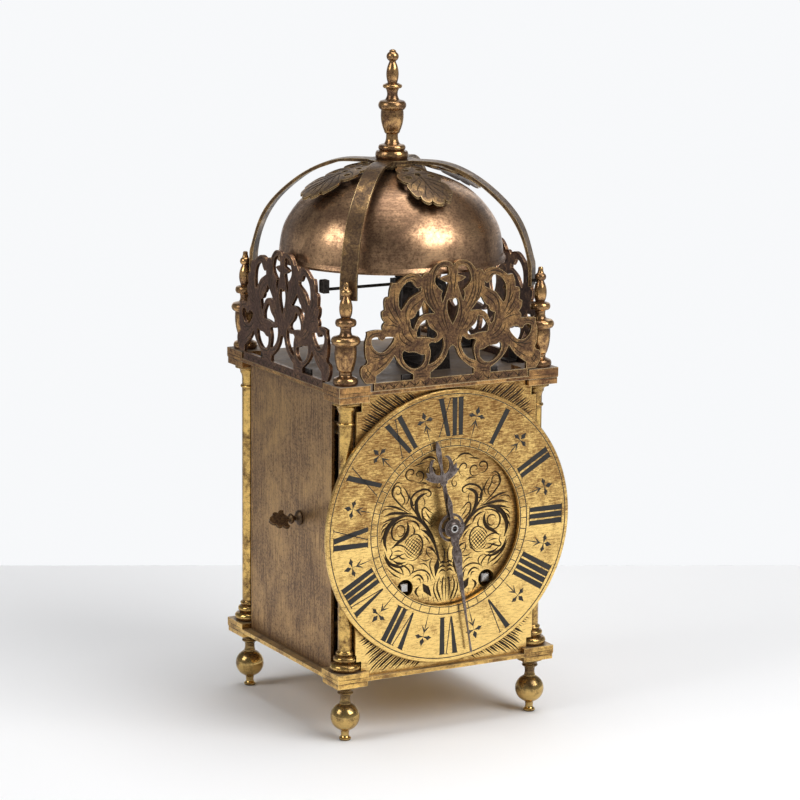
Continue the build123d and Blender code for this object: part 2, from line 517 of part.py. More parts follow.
# Doors: plain brass sheets, each brazed to a pin that turns in holes of the base and top plates
DOOR_MIDDLE = (DOOR_LOW + DOOR_HIGH) / 2
PIN_LOW, PIN_HIGH = BASE_LOW + 0.3, TOP_TOP - 0.6
DOOR_PLACES = {
    "left_door": (Plane((-DOOR_IN, 0, 0), x_dir=(0, -1, 0), z_dir=(-1, 0, 0)), HINGE_PINS[0], -HINGE_AT),
    "right_door": (Plane((DOOR_IN, 0, 0), x_dir=(0, 1, 0), z_dir=(1, 0, 0)), HINGE_PINS[1], HINGE_AT),
    "back_door": (Plane((0, DOOR_IN, 0), x_dir=(-1, 0, 0), z_dir=(0, 1, 0)), HINGE_PINS[2], -HINGE_AT),
}
KNOB_AT, KNOB_Z = -42.0, 121.0
KNOB = [(0, DOOR_OUT - 1.0), (2.0, DOOR_OUT - 1.0), (2.0, DOOR_OUT), (5.0, DOOR_OUT),
        (5.0, DOOR_OUT + 1.2, 0.3), (2.4, DOOR_OUT + 2.0), (2.0, DOOR_OUT + 5.0, -0.3),
        (2.6, DOOR_OUT + 5.6), (2.6, KNOB_REACH - 0.6, 2.3),
        (0.8, KNOB_REACH), (0, KNOB_REACH)]
for name, (plane, pin, pin_side) in DOOR_PLACES.items():
    with BuildPart() as door:
        with BuildSketch(plane):
            with Locations((0, DOOR_MIDDLE)):
                sheet = Rectangle(2 * DOOR_HALF, DOOR_HIGH - DOOR_LOW)
            free_edge = sheet.vertices().sort_by(Axis.X)
            fillet((free_edge[:2] if pin_side > 0 else free_edge[2:]), 3.0)
            with Locations((pin_side, DOOR_MIDDLE)):
                Rectangle(2 * (HINGE_PIN + 0.3), DOOR_HIGH - DOOR_LOW)
        extrude(amount=DOOR_OUT - DOOR_IN)
        with Locations((*pin, PIN_LOW)):
            Cylinder(HINGE_PIN, PIN_HIGH - PIN_LOW, align=LIFT)
        if name == "back_door":
            with BuildSketch(along(KNOB_AT, KNOB_Z)):
                with BuildLine():
                    turned_outline(*KNOB)
                make_face()
            revolve(axis=Axis((KNOB_AT, 0, KNOB_Z), (0, 1, 0)))
    keep(door, name)

# Door pulls: a turned rosette against the door with a stem and a cast leaf that points outwards
PULL_Y, PULL_Z = -12.2, 121.0
ROSETTE = [(0, 0), (4.0, 0), (4.0, 1.3, 0.4), (2.8, 2.2), (1.6, 2.8), (1.6, 4.2, -0.2), (2.6, 5.0),
           (2.6, 6.8, 0.5), (1.5, 7.6), (1.2, 12.0), (0, 12.0)]
PULL_LEAF = (
    [(0, 5.5), (0.9, 5.5)],
    [(0.9, 5.5), (1.7, 8.0), (4.0, 9.3), (5.6, 8.6)],
    [(5.6, 8.6), (6.3, 10.6), (5.2, 12.4), (4.0, 12.7)],
    [(4.0, 12.7), (5.2, 13.8), (4.9, 15.9), (3.0, 16.6)],
    [(3.0, 16.6), (2.4, 18.5), (0, PULL_REACH - DOOR_OUT)],
    [(0, PULL_REACH - DOOR_OUT), (0, 5.5)],
)
LEAF_PLATE, LEAF_LEAN = 1.8, radians(40)  # the leaf leans over about its length, its front edge down
for side, name in ((-1, "left_door_pull"), (1, "right_door_pull")):
    with BuildPart() as pull:
        with BuildSketch(Plane((side * DOOR_OUT, PULL_Y, PULL_Z), x_dir=(0, 0, 1), z_dir=(0, side, 0))):
            with BuildLine():
                turned_outline(*ROSETTE)
            make_face()
        revolve(axis=Axis((side * DOOR_OUT, PULL_Y, PULL_Z), (1, 0, 0)))
        leaf_plane = Plane((side * DOOR_OUT, PULL_Y, PULL_Z), z_dir=(0, -sin(LEAF_LEAN), cos(LEAF_LEAN)),
                           x_dir=(0, -side * cos(LEAF_LEAN), -side * sin(LEAF_LEAN)))
        with BuildSketch(leaf_plane.offset(-LEAF_PLATE / 2)):
            with BuildLine():
                smooth_runs(*PULL_LEAF)
            make_face()
            mirror(about=Plane.YZ)
        extrude(amount=LEAF_PLATE)
    keep(pull, name)

# Movement plates: thin brass plates drilled for the pivots, held apart by four pillars and stood on
# two bars. Where each arbor stands follows from the wheels' sizes
def meeting_point(start, reach, end, other_reach, side):
    """The point that lies reach from start and other_reach from end, on one side of their line."""
    gap = hypot(end[0] - start[0], end[1] - start[1])
    bend = acos((reach**2 + gap**2 - other_reach**2) / (2 * reach * gap))
    turn = atan2(end[1] - start[1], end[0] - start[0]) + side * bend
    return (start[0] + reach * cos(turn), start[1] + reach * sin(turn))


def off_from(start, reach, turn):
    """The point reach away from start, turned that far from the clock's right."""
    return (start[0] + reach * cos(radians(turn)), start[1] + reach * sin(radians(turn)))


def apart(module, wheel, pinion):
    """How far apart the arbors of a wheel and its pinion stand."""
    return module * (wheel + pinion) / 2


# Each mesh is its module, the wheel's teeth and the pinion's leaves
BARREL_MESH = (0.65, 72, 12)
INTERMEDIATE_MESH = (0.6, 72, 12)
CENTRE_MESH = (0.46, 96, 8)
THIRD_MESH = (0.5, 84, 7)
PIN_MESH = (0.55, 72, 8)
WARNING_MESH = (0.5, 60, 8)
CANNON_MESH = (0.5, 60, 20)
HOUR_MESH = (apart(*CANNON_MESH) * 2 / 75, 60, 15)
ESCAPE_TEETH, ESCAPE_RADIUS, ESCAPE_ROOT = 36, 14.0, 12.0
PALLET_SPAN = 42.5  # the pallets catch the wheel this far each side of its top
NIB_CLEAR = 0.08

SIDE = {"going": 1, "strike": -1}
GOING_BARREL = (BARREL_X, BARREL_Z)
STRIKE_BARREL = (-BARREL_X, BARREL_Z)
INTERMEDIATE = meeting_point(CENTRE, apart(*INTERMEDIATE_MESH), GOING_BARREL, apart(*BARREL_MESH), 1)
THIRD = off_from(CENTRE, apart(*CENTRE_MESH), 43.3)
ESCAPE = (0.0, THIRD[1] + sqrt(apart(*THIRD_MESH) ** 2 - THIRD[0] ** 2))
PALLETS = (0.0, ESCAPE[1] + ESCAPE_RADIUS / cos(radians(PALLET_SPAN)))
PIN_WHEEL = off_from(STRIKE_BARREL, apart(*BARREL_MESH), 97.4)
WARNING = off_from(PIN_WHEEL, apart(*PIN_MESH), 74.2)
FLY = off_from(WARNING, apart(*WARNING_MESH), 100.2)
MINUTE_WHEEL = (0.0, CENTRE[1] - apart(*CANNON_MESH))


def arbor(place, radius, front, back):
    """A round length of an arbor, from front to back."""
    with Locations((place[0], back, place[1])):
        Cylinder(radius, back - front, rotation=(90, 0, 0), align=LIFT)


def bore(place, radius, front, back):
    """A round hole along Y."""
    with Locations((place[0], back, place[1])):
        Cylinder(radius, back - front, rotation=(90, 0, 0), align=LIFT, mode=Mode.SUBTRACT)


def from_arbor(place, side, radius, turn):
    """A point at a radius from an arbor; on the striking side, -1, everything is mirrored."""
    return (place[0] + side * radius * cos(radians(turn)), place[1] + radius * sin(radians(turn)))


# The clicks hang on studs of the front plate, and each nose lies between two ratchet teeth
RATCHET_TEETH, RATCHET_RADIUS, RATCHET_ROOT = 24, 9.0, 7.6
RATCHET_FRONT, RATCHET_BACK = -56.0, -54.0
NOSE_AT, CLICK_STUD_AT, CLICK_STUD_REACH = 20.0, 60.0, 13.2
CLICK_STUD = 1.2
MINUTE_STUD = 1.5
PLATE_ARBORS = {
    INTERMEDIATE: (PIVOT, PIVOT),
    THIRD: (PIVOT, PIVOT),
    ESCAPE: (PIVOT, PIVOT),
    PIN_WHEEL: (PIVOT, PIVOT),
    WARNING: (PIVOT, PIVOT),
    FLY: (PIVOT, PIVOT),
    PALLETS: (PIVOT, 1.2),
    CENTRE: (1.5, PIVOT),
    GOING_BARREL: (WINDING_ARBOR, 2.0),
    STRIKE_BARREL: (WINDING_ARBOR, 2.0),
}
MOVEMENT_CORNERS = [(x, z) for x in (-PILLAR_X, PILLAR_X) for z in (PILLAR_LOW, PILLAR_HIGH)]
for name, (front, back), which in (
    ("movement_front_plate", FRONT_PLATE, 0),
    ("movement_back_plate", BACK_PLATE, 1),
):
    with BuildPart() as plate:
        with BuildSketch(across(back)):
            with Locations((0, (MOVEMENT_LOW + MOVEMENT_HIGH) / 2)):
                RectangleRounded(2 * MOVEMENT_HALF, MOVEMENT_HIGH - MOVEMENT_LOW, 2)
            for place, radii in PLATE_ARBORS.items():
                with Locations(place):
                    Circle(radii[which] + FIT, mode=Mode.SUBTRACT)
            with Locations(*MOVEMENT_CORNERS):
                Circle(2.0 + SNUG, mode=Mode.SUBTRACT)
        extrude(amount=back - front)
        if which == 0:
            arbor(MINUTE_WHEEL, 3.0, -54.8, front)
            arbor(MINUTE_WHEEL, MINUTE_STUD, -61.0, front)
            for side, place in ((1, GOING_BARREL), (-1, STRIKE_BARREL)):
                stud = from_arbor(place, side, CLICK_STUD_REACH, CLICK_STUD_AT)
                arbor(stud, 2.4, RATCHET_BACK + 0.1, front)
                arbor(stud, CLICK_STUD, RATCHET_FRONT - 0.6, front)
    keep(plate, name)

with BuildPart() as movement_pillars:
    for place in MOVEMENT_CORNERS:
        arbor(place, 3.5, FRONT_PLATE[1], BACK_PLATE[0])
        arbor(place, 2.0, FRONT_PLATE[0] - 1.5, BACK_PLATE[1] + 1.5)
keep(movement_pillars, "movement_pillars")

with BuildPart() as movement_seat:
    with Locations((0, (FRONT_PLATE[0] + BACK_PLATE[1]) / 2, BASE_TOP)):
        with GridLocations(76, 1, 2, 1):
            Box(8, BACK_PLATE[1] - FRONT_PLATE[0] + 6, MOVEMENT_LOW - BASE_TOP, align=LIFT)
            Box(8, 24, MOVEMENT_LOW - BASE_TOP - 4, align=LIFT, mode=Mode.SUBTRACT)
keep(movement_seat, "movement_seat")

# Wheels and pinions: a tooth is four points, thinner at its tip than at its root, so that a pair
# turns through every tooth without touching more than at a point
WHEEL_TIP, PINION_TIP, TOOTH_ROOT = 0.9, 0.75, 1.15  # parts of a module, from the pitch circle
ROOT_SHARE, TIP_SHARE = 0.5, 0.225  # how much of the pitch a tooth takes up


def toothed(module, teeth, tip, first):
    """The face of a toothed wheel, whose first tooth points that far round from the right."""
    pitch_radius, pitch = module * teeth / 2, 360 / teeth
    inner, outer = pitch_radius - TOOTH_ROOT * module, pitch_radius + tip * module
    points = []
    for tooth in range(teeth):
        middle = first + tooth * pitch
        for radius, lean in ((inner, -ROOT_SHARE), (outer, -TIP_SHARE), (outer, TIP_SHARE),
                             (inner, ROOT_SHARE)):
            points.append(off_from((0, 0), radius, middle + lean * pitch / 2))
    with BuildLine() as outline:
        Polyline(*points, close=True)
    make_face(outline.edges())


def crossed(rim, hub, arm):
    """Cut a wheel out to a rim, a hub and four arms."""
    Circle(rim, mode=Mode.SUBTRACT)
    Circle(hub)
    Rectangle(arm, 2 * rim + 0.4)
    Rectangle(2 * rim + 0.4, arm)


def meshed(first, teeth, place, other_teeth, other_place):
    """The first tooth of a wheel that puts its gaps on the teeth of another one."""
    toward = degrees(atan2(other_place[1] - place[1], other_place[0] - place[0]))
    return toward + 180 + 180 / other_teeth - (first - toward) * teeth / other_teeth


# Each arbor of the trains: where it is, its radius, its pinion and its wheel, as module, teeth,
# front, back and first tooth, and the wheel's hub and arms
ARBOR_ENDS = (-49.2, 1.7)
TRAIN = {
    "intermediate_wheel": (
        INTERMEDIATE, 1.5,
        (BARREL_MESH[0], BARREL_MESH[2], -47.5, -43.5, meshed(90, 72, GOING_BARREL, 12, INTERMEDIATE)),
        (INTERMEDIATE_MESH[0], INTERMEDIATE_MESH[1], -5.0, -3.0, 0.0), (18.6, 5.0, 2.6),
    ),
    "centre_wheel": (
        CENTRE, 1.5,
        (INTERMEDIATE_MESH[0], INTERMEDIATE_MESH[2], -6.0, -2.0, meshed(0, 72, INTERMEDIATE, 12, CENTRE)),
        (CENTRE_MESH[0], CENTRE_MESH[1], -30.0, -28.0, 0.0), (19.4, 5.0, 2.4),
    ),
    "third_wheel": (
        THIRD, 1.2,
        (CENTRE_MESH[0], CENTRE_MESH[2], -30.5, -27.5, meshed(0, 96, CENTRE, 8, THIRD)),
        (THIRD_MESH[0], THIRD_MESH[1], -12.0, -10.5, 0.0), (18.6, 4.0, 2.2),
    ),
    "pin_wheel": (
        PIN_WHEEL, 1.5,
        (BARREL_MESH[0], BARREL_MESH[2], -47.5, -43.5, meshed(90, 72, STRIKE_BARREL, 12, PIN_WHEEL)),
        (PIN_MESH[0], PIN_MESH[1], -5.0, -3.0, 0.0), None,
    ),
    "warning_wheel": (
        WARNING, 1.2,
        (PIN_MESH[0], PIN_MESH[2], -5.5, -2.5, meshed(0, 72, PIN_WHEEL, 8, WARNING)),
        (WARNING_MESH[0], WARNING_MESH[1], -16.0, -14.5, 0.0), (12.6, 3.6, 2.0),
    ),
}
HAMMER_PINS, PIN_CIRCLE, HAMMER_PIN = 8, 15.0, 0.7
for name, (place, radius, pinion, wheel, crossing) in TRAIN.items():
    with BuildPart() as piece:
        for (module, teeth, front, back, first), tip in ((pinion, PINION_TIP), (wheel, WHEEL_TIP)):
            with BuildSketch(across(back, *place)):
                toothed(module, teeth, tip, first)
                if tip == WHEEL_TIP and crossing:
                    crossed(*crossing)
            extrude(amount=back - front)
        arbor(place, PIVOT, ARBOR_ENDS[0] - 2.5, ARBOR_ENDS[1] + 2.5)
        arbor(place, radius, -75.0 if name == "centre_wheel" else ARBOR_ENDS[0], ARBOR_ENDS[1])
        if name == "pin_wheel":
            with BuildSketch(across(0.3, *place)):
                with PolarLocations(PIN_CIRCLE, HAMMER_PINS, start_angle=22.5):
                    Circle(HAMMER_PIN)
            extrude(amount=3.5)
    keep(piece, name)

# Escape wheel, pallets and pendulum: a tooth stands 5 degrees from the top, so that at rest each
# nib of the pallets is level with a gap
with BuildPart() as escape_wheel:
    with BuildSketch(across(-22.5, *ESCAPE)):
        with BuildLine():
            points = []
            for tooth in range(ESCAPE_TEETH):
                middle = 95 + tooth * 360 / ESCAPE_TEETH
                points += [off_from((0, 0), radius, middle + lean) for radius, lean in (
                    (ESCAPE_ROOT, -2), (ESCAPE_RADIUS, -0.4), (ESCAPE_RADIUS, 0.4), (ESCAPE_ROOT, 2))]
            Polyline(*points, close=True)
        make_face()
        crossed(10.0, 3.0, 1.6)
    extrude(amount=1.5)
    with BuildSketch(across(-10.0, *ESCAPE)):
        toothed(THIRD_MESH[0], THIRD_MESH[2], PINION_TIP, meshed(0, 84, THIRD, 7, ESCAPE))
    extrude(amount=2.5)
    arbor(ESCAPE, 1.0, *ARBOR_ENDS)
    arbor(ESCAPE, PIVOT, ARBOR_ENDS[0] - 2.5, ARBOR_ENDS[1] + 2.5)
keep(escape_wheel, "escape_wheel")

NIB_WIDTH = 0.56
PENDULUM_FRONT, PENDULUM_BACK = 13.0, 15.0
PENDULUM_ROD = 0.9
CRUTCH_LENGTH = 32.0
with BuildPart() as pallets:
    with BuildSketch(across(-22.2, *ESCAPE)):
        for side in (-1, 1):
            nib_turn = 90 - side * PALLET_SPAN
            nib = off_from((0, 0), ESCAPE_RADIUS + NIB_CLEAR + 1.7, nib_turn)
            with Locations(Location((*nib, 0), (0, 0, nib_turn))):
                Rectangle(3.4, NIB_WIDTH)
            with BuildLine():
                shoulder = off_from((0, 0), ESCAPE_RADIUS + 2.6, nib_turn)
                tip = off_from((0, 0), ESCAPE_RADIUS + 4.6, nib_turn + side * 3)
                Polyline(shoulder, off_from((0, 0), ESCAPE_RADIUS + 3.2, nib_turn - side * 5), tip,
                         (side * 1.5, PALLETS[1] - ESCAPE[1] + 2.6), (side * 0.5, PALLETS[1] - ESCAPE[1] - 1.8),
                         close=True)
            make_face()
        with Locations((0, PALLETS[1] - ESCAPE[1])):
            Circle(3.2)
    extrude(amount=2.3)
    arbor(PALLETS, 1.2, ARBOR_ENDS[0], 10.5)
    arbor(PALLETS, PIVOT, ARBOR_ENDS[0] - 2.5, ARBOR_ENDS[0])
    with BuildSketch(across(10.0, *PALLETS)):
        Circle(3.0)
        with Locations((0, -CRUTCH_LENGTH / 2)):
            Rectangle(2.4, CRUTCH_LENGTH)
        with Locations((0, -CRUTCH_LENGTH)):
            Rectangle(5.4, 3.0)
    extrude(amount=2.0)
    with BuildSketch(across(PENDULUM_BACK + 1.5, *PALLETS)):
        for side in (-1, 1):
            with Locations((side * (PENDULUM_ROD + 0.1 + 0.8), -CRUTCH_LENGTH)):
                Rectangle(1.6, 3.0)
    extrude(amount=PENDULUM_BACK + 1.5 - 9.0)
keep(pallets, "pallets")

BOB_RADIUS, BOB_THICK = 10.5, 8.0
PENDULUM_LENGTH = 119.8  # for 10368 beats an hour
PENDULUM_Y = (PENDULUM_FRONT + PENDULUM_BACK) / 2
BOB_Z = PALLETS[1] - PENDULUM_LENGTH
COCK_STUD = 1.5
with BuildPart() as pendulum:
    with BuildSketch(across(PENDULUM_BACK, *PALLETS)):
        Circle(3.4)
        Circle(COCK_STUD + FIT, mode=Mode.SUBTRACT)
    extrude(amount=PENDULUM_BACK - PENDULUM_FRONT)
    with Locations((0, PENDULUM_Y, BOB_Z - BOB_RADIUS - 1.5)):
        Cylinder(PENDULUM_ROD, PALLETS[1] - 2.6 - (BOB_Z - BOB_RADIUS - 1.5), align=LIFT)
        Cylinder(1.7, 1.6, align=LIFT)
    with BuildSketch(along(0, BOB_Z)):
        with BuildLine():
            turned_outline((0, PENDULUM_Y - BOB_THICK / 2), (BOB_RADIUS, PENDULUM_Y - 0.6, 0.9),
                           (BOB_RADIUS, PENDULUM_Y + 0.6), (0, PENDULUM_Y + BOB_THICK / 2, 0.9))
        make_face()
    revolve(axis=Axis((0, 0, BOB_Z), (0, 1, 0)))
keep(pendulum, "pendulum")

with BuildPart() as pendulum_cock:
    with BuildSketch(across(19.0, *PALLETS)):
        with Locations((0, 1.5)):
            Rectangle(36, 12)
    extrude(amount=2.5)
    with BuildSketch(across(19.0, *PALLETS)):
        for side in (-1, 1):
            with Locations((side * 16.5, 1.5)):
                Rectangle(3, 12)
    extrude(amount=19.0 - BACK_PLATE[1])
    arbor(PALLETS, COCK_STUD, PENDULUM_FRONT - 0.6, 17.0)
keep(pendulum_cock, "pendulum_cock")

# Fly: the air brake of the striking train
with BuildPart() as fly:
    with BuildSketch(across(-14.0, *FLY)):
        toothed(WARNING_MESH[0], WARNING_MESH[2], PINION_TIP, meshed(0, 60, WARNING, 8, FLY))
    extrude(amount=2.5)
    arbor(FLY, 1.2, *ARBOR_ENDS)
    arbor(FLY, PIVOT, ARBOR_ENDS[0] - 2.5, ARBOR_ENDS[1] + 2.5)
    with Locations((FLY[0], -32.5, FLY[1])):
        Box(24, 25, 0.8)
keep(fly, "fly")

# Spring barrels: a great wheel on the front of a drum that runs on the winding arbor, and a coiled
# steel spring inside. The winding arbor carries a ratchet and ends in a square for the key
SPRING_TURNS, SPRING_PITCH, SPRING_STRIP, SPRING_START = 9, 1.2, 0.45, 6.8
BARREL_WALL = 1.6
SQUARE_END = -68.0
for train, place in (("going", GOING_BARREL), ("strike", STRIKE_BARREL)):
    side = SIDE[train]
    with BuildPart() as barrel:
        with BuildSketch(across(BARREL_FRONT, *place)):
            toothed(BARREL_MESH[0], BARREL_MESH[1], WHEEL_TIP, 90)
        extrude(amount=3.0)
        arbor(place, BARREL_RADIUS, BARREL_FRONT, BARREL_BACK)
        bore(place, BARREL_RADIUS - BARREL_WALL, BARREL_FRONT + BARREL_WALL, BARREL_BACK - BARREL_WALL)
        bore(place, WINDING_ARBOR + FIT, BARREL_FRONT - 4, BARREL_BACK + 1)
    keep(barrel, f"{train}_barrel")

    with BuildPart() as mainspring:
        with BuildSketch(across(BARREL_BACK - 3.0, *place)):
            with BuildLine():
                for half in range(2 * SPRING_TURNS):
                    middle = (half % 2) * SPRING_PITCH / 2
                    radius = SPRING_START + half * SPRING_PITCH / 2
                    for edge in (-SPRING_STRIP / 2, SPRING_STRIP / 2):
                        CenterArc((middle, 0), radius + edge, 180 * (half % 2), 180)
                last = SPRING_START + SPRING_TURNS * SPRING_PITCH
                Line((SPRING_START - SPRING_STRIP / 2, 0), (SPRING_START + SPRING_STRIP / 2, 0))
                Line((last - SPRING_STRIP / 2, 0), (last + SPRING_STRIP / 2, 0))
            make_face()
        extrude(amount=BARREL_BACK - BARREL_FRONT - 6.0)
    keep(mainspring, f"{train}_mainspring")

    with BuildPart() as winding_arbor:
        arbor(place, WINDING_ARBOR, -57.0, ARBOR_ENDS[1])
        arbor(place, 2.0, ARBOR_ENDS[1], ARBOR_ENDS[1] + 2.5)
        with Locations((place[0], (SQUARE_END - 56.0) / 2, place[1])):
            Box(KEY_SQUARE, -56.0 - SQUARE_END, KEY_SQUARE)
        chamfer(winding_arbor.faces().sort_by(Axis.Y)[0].edges(), 0.6)
        with BuildSketch(across(RATCHET_BACK)):
            with BuildLine():
                points = []
                for tooth in range(RATCHET_TEETH):
                    tip = NOSE_AT - 4 + tooth * 360 / RATCHET_TEETH
                    points += [from_arbor(place, side, RATCHET_RADIUS, tip),
                               from_arbor(place, side, RATCHET_ROOT, tip + 1.5)]
                Polyline(*points, close=True)
            make_face()
        extrude(amount=RATCHET_BACK - RATCHET_FRONT)
    keep(winding_arbor, f"{train}_winding_arbor")

    with BuildPart() as click:
        with BuildSketch(across(RATCHET_BACK)):
            with BuildLine():
                Polyline(from_arbor(place, side, 8.25, NOSE_AT), from_arbor(place, side, 9.4, NOSE_AT + 9),
                         from_arbor(place, side, 10.4, NOSE_AT + 30),
                         from_arbor(place, side, CLICK_STUD_REACH + 2.0, CLICK_STUD_AT - 4),
                         from_arbor(place, side, 11.4, NOSE_AT + 10), from_arbor(place, side, 9.3, NOSE_AT - 1),
                         close=True)
            make_face()
            with Locations(from_arbor(place, side, CLICK_STUD_REACH, CLICK_STUD_AT)):
                Circle(2.8)
                Circle(CLICK_STUD + FIT, mode=Mode.SUBTRACT)
        extrude(amount=RATCHET_BACK - RATCHET_FRONT)
    keep(click, f"{train}_click")

# Motion work: the cannon pinion's pipe carries the minute hand over the end of the centre arbor,
# and the hour wheel's pipe turns on it, twelve times slower, through the minute wheel
CANNON_BORE, CANNON_PIPE = 1.5 + FIT, 2.3
HOUR_BORE, HOUR_PIPE = CANNON_PIPE + FIT, 3.4
PIN_RADIUS, PIN_Y = 0.35, -77.7
with BuildPart() as cannon_pinion:
    with BuildSketch(across(-54.5, *CENTRE)):
        toothed(CANNON_MESH[0], CANNON_MESH[2], PINION_TIP, meshed(0, 60, MINUTE_WHEEL, 20, CENTRE))
    extrude(amount=2.5)
    arbor(CENTRE, 3.0, -55.0, FRONT_PLATE[0] - 0.3)
    arbor(CENTRE, CANNON_PIPE, HAND_PIPE_END, -57.0)
    bore(CENTRE, CANNON_BORE, HAND_PIPE_END - 1, FRONT_PLATE[0])
    with Locations((0, PIN_Y, CENTRE[1])):
        Cylinder(PIN_RADIUS + SNUG, 9, rotation=(0, 90, 0), mode=Mode.SUBTRACT)
keep(cannon_pinion, "cannon_pinion")

with BuildPart() as minute_wheel:
    with BuildSketch(across(-55.0, *MINUTE_WHEEL)):
        toothed(CANNON_MESH[0], CANNON_MESH[1], WHEEL_TIP, 0)
        crossed(12.6, 5.5, 2.2)
    extrude(amount=1.5)
    with BuildSketch(across(-56.5, *MINUTE_WHEEL)):
        toothed(HOUR_MESH[0], HOUR_MESH[2], PINION_TIP, meshed(0, 60, CENTRE, 15, MINUTE_WHEEL))
    extrude(amount=3.5)
    bore(MINUTE_WHEEL, MINUTE_STUD + FIT, -61.0, -54.0)
keep(minute_wheel, "minute_wheel")

with BuildPart() as hour_wheel:
    with BuildSketch(across(-58.0, *CENTRE)):
        toothed(HOUR_MESH[0], HOUR_MESH[1], WHEEL_TIP, 0)
        crossed(13.6, 5.5, 2.2)
    extrude(amount=1.5)
    arbor(CENTRE, HOUR_PIPE, HOUR_HAND_FRONT, -58.0)
    bore(CENTRE, HOUR_BORE, HOUR_HAND_FRONT - 1, -57.0)
keep(hour_wheel, "hour_wheel")

# Hands: filed steel. Half of each, from its centre line: distance aside, and along the hand
HOUR_HAND_EDGE = (
    [(0, 6.0), (1.3, 6.0)],
    [(1.3, 6.0), (1.1, 26.2)],
    [(1.1, 26.2), (2.2, 26.9), (2.0, 28.0)],
    [(2.0, 28.0), (4.6, 28.6), (8.6, 30.6), (11.2, 33.0)],
    [(11.2, 33.0), (9.6, 33.4)],
    [(9.6, 33.4), (10.2, 36.6)],
    [(10.2, 36.6), (8.1, 35.2)],
    [(8.1, 35.2), (7.3, 39.4), (5.0, 42.6), (3.4, 42.2)],
    [(3.4, 42.2), (5.4, 40.2), (5.6, 36.6), (4.2, 33.6), (1.4, 32.4)],
    [(1.4, 32.4), (0.7, 34.0)],
    [(0.7, 34.0), (1.2, 41.0), (1.6, 47.0), (0, 52.6)],
    [(0, 52.6), (0, 6.0)],
)
MINUTE_HAND_EDGE = (
    [(0, -20.6), (0.8, -17.6), (1.5, -14.4), (1.0, -9.0), (1.1, -6.0)],
    [(1.1, -6.0), (1.1, -4.0)],
    [(1.1, -4.0), (2.0, 4.0)],
    [(2.0, 4.0), (2.4, 9.0), (1.6, 11.0)],
    [(1.6, 11.0), (2.6, 13.0), (2.7, 19.0), (2.0, 24.6)],
    [(2.0, 24.6), (1.0, 40.0), (0.5, 75.8)],
    [(0.5, 75.8), (0, 76.8)],
    [(0, 76.8), (0, -20.6)],
)


def hand_plane(y, turn):
    """The plane of a hand at depth y: its Y runs along the hand, that far clockwise from XII."""
    aside = (cos(radians(turn)), 0, -sin(radians(turn)))
    return Plane((CENTRE[0], y, CENTRE[1]), x_dir=aside, z_dir=(0, -1, 0))


with BuildPart() as hour_hand:
    with BuildSketch(hand_plane(HOUR_HAND_BACK, HOUR_HAND_AT)):
        with BuildLine():
            smooth_runs(*HOUR_HAND_EDGE)
        make_face()
        mirror(about=Plane.YZ)
        Circle(8.3)
        Circle(6.9, mode=Mode.SUBTRACT)
        Circle(5.2)
        Rectangle(14.6, 2.0)
        Rectangle(2.0, 14.6)
        Circle(HOUR_PIPE + SNUG, mode=Mode.SUBTRACT)
    extrude(amount=HOUR_HAND_BACK - HOUR_HAND_FRONT)
keep(hour_hand, "hour_hand")

with BuildPart() as minute_hand:
    with BuildSketch(hand_plane(MINUTE_HAND_BACK, MINUTE_HAND_AT)):
        with BuildLine():
            smooth_runs(*MINUTE_HAND_EDGE)
        make_face()
        mirror(about=Plane.YZ)
        Circle(5.5)
        Circle(CANNON_PIPE + SNUG, mode=Mode.SUBTRACT)
    extrude(amount=MINUTE_HAND_BACK - MINUTE_HAND_FRONT)
keep(minute_hand, "minute_hand")

with BuildPart() as hand_collet:
    with BuildSketch(along(*CENTRE)):
        with BuildLine():
            Polyline((CANNON_PIPE + SNUG, -77.0), (4.0, -77.0), (3.8, -77.5))
            SagittaArc((3.8, -77.5), (CANNON_PIPE + SNUG, -78.3), 0.2)
            Line((CANNON_PIPE + SNUG, -78.3), (CANNON_PIPE + SNUG, -77.0))
        make_face()
    revolve(axis=Axis((CENTRE[0], 0, CENTRE[1]), (0, 1, 0)))
    with Locations((0, PIN_Y, CENTRE[1])):
        Cylinder(PIN_RADIUS + SNUG, 9, rotation=(0, 90, 0), mode=Mode.SUBTRACT)
        Cylinder(PIN_RADIUS, 9, rotation=(0, 90, 0))
keep(hand_collet, "hand_collet")

# Brackets behind the frets' feet, and the screws and nut that hold the cage, the frets and the bell
BRACKET_AT, BRACKET_WIDTH, BRACKET_HIGH = 27.0, 9.0, 7.5
with BuildPart() as fret_brackets:
    for plane in FRET_PLANES.values():
        with BuildSketch(plane):
            with Locations((-BRACKET_AT, BRACKET_HIGH / 2), (BRACKET_AT, BRACKET_HIGH / 2)):
                Rectangle(BRACKET_WIDTH, BRACKET_HIGH)
        extrude(amount=-1.6)
        with BuildSketch(plane):
            with Locations((-BRACKET_AT, 0.8), (BRACKET_AT, 0.8)):
                Rectangle(BRACKET_WIDTH, 1.6)
        extrude(amount=-7.0)
keep(fret_brackets, "fret_brackets")

with BuildPart() as screws_and_nuts:
    for side_x, side_y in CORNERS.values():
        outward = Vector(side_x, side_y, 0).normalized()
        start = outward * (STRAP_INSIDE - 1.4) + Vector(0, 0, STRAP_END + 3.0)
        with BuildSketch(Plane(start, x_dir=(0, 0, 1), z_dir=outward)):
            Circle(2.2)
        extrude(amount=1.4)
        with BuildSketch(Plane(start, x_dir=(0, 0, 1), z_dir=outward)):
            Circle(SCREW)
        extrude(amount=7.0)
    with BuildSketch(Plane.XY.offset(NUT_LOW)):
        RegularPolygon(5.2, 6)
        Circle(STUD + SNUG, mode=Mode.SUBTRACT)
    extrude(amount=BELL_TOP - BELL_WALL - NUT_GAP - NUT_LOW)
keep(screws_and_nuts, "screws_and_nuts")
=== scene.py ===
import json
import math

import bmesh
import bpy
from mathutils import Matrix, Vector


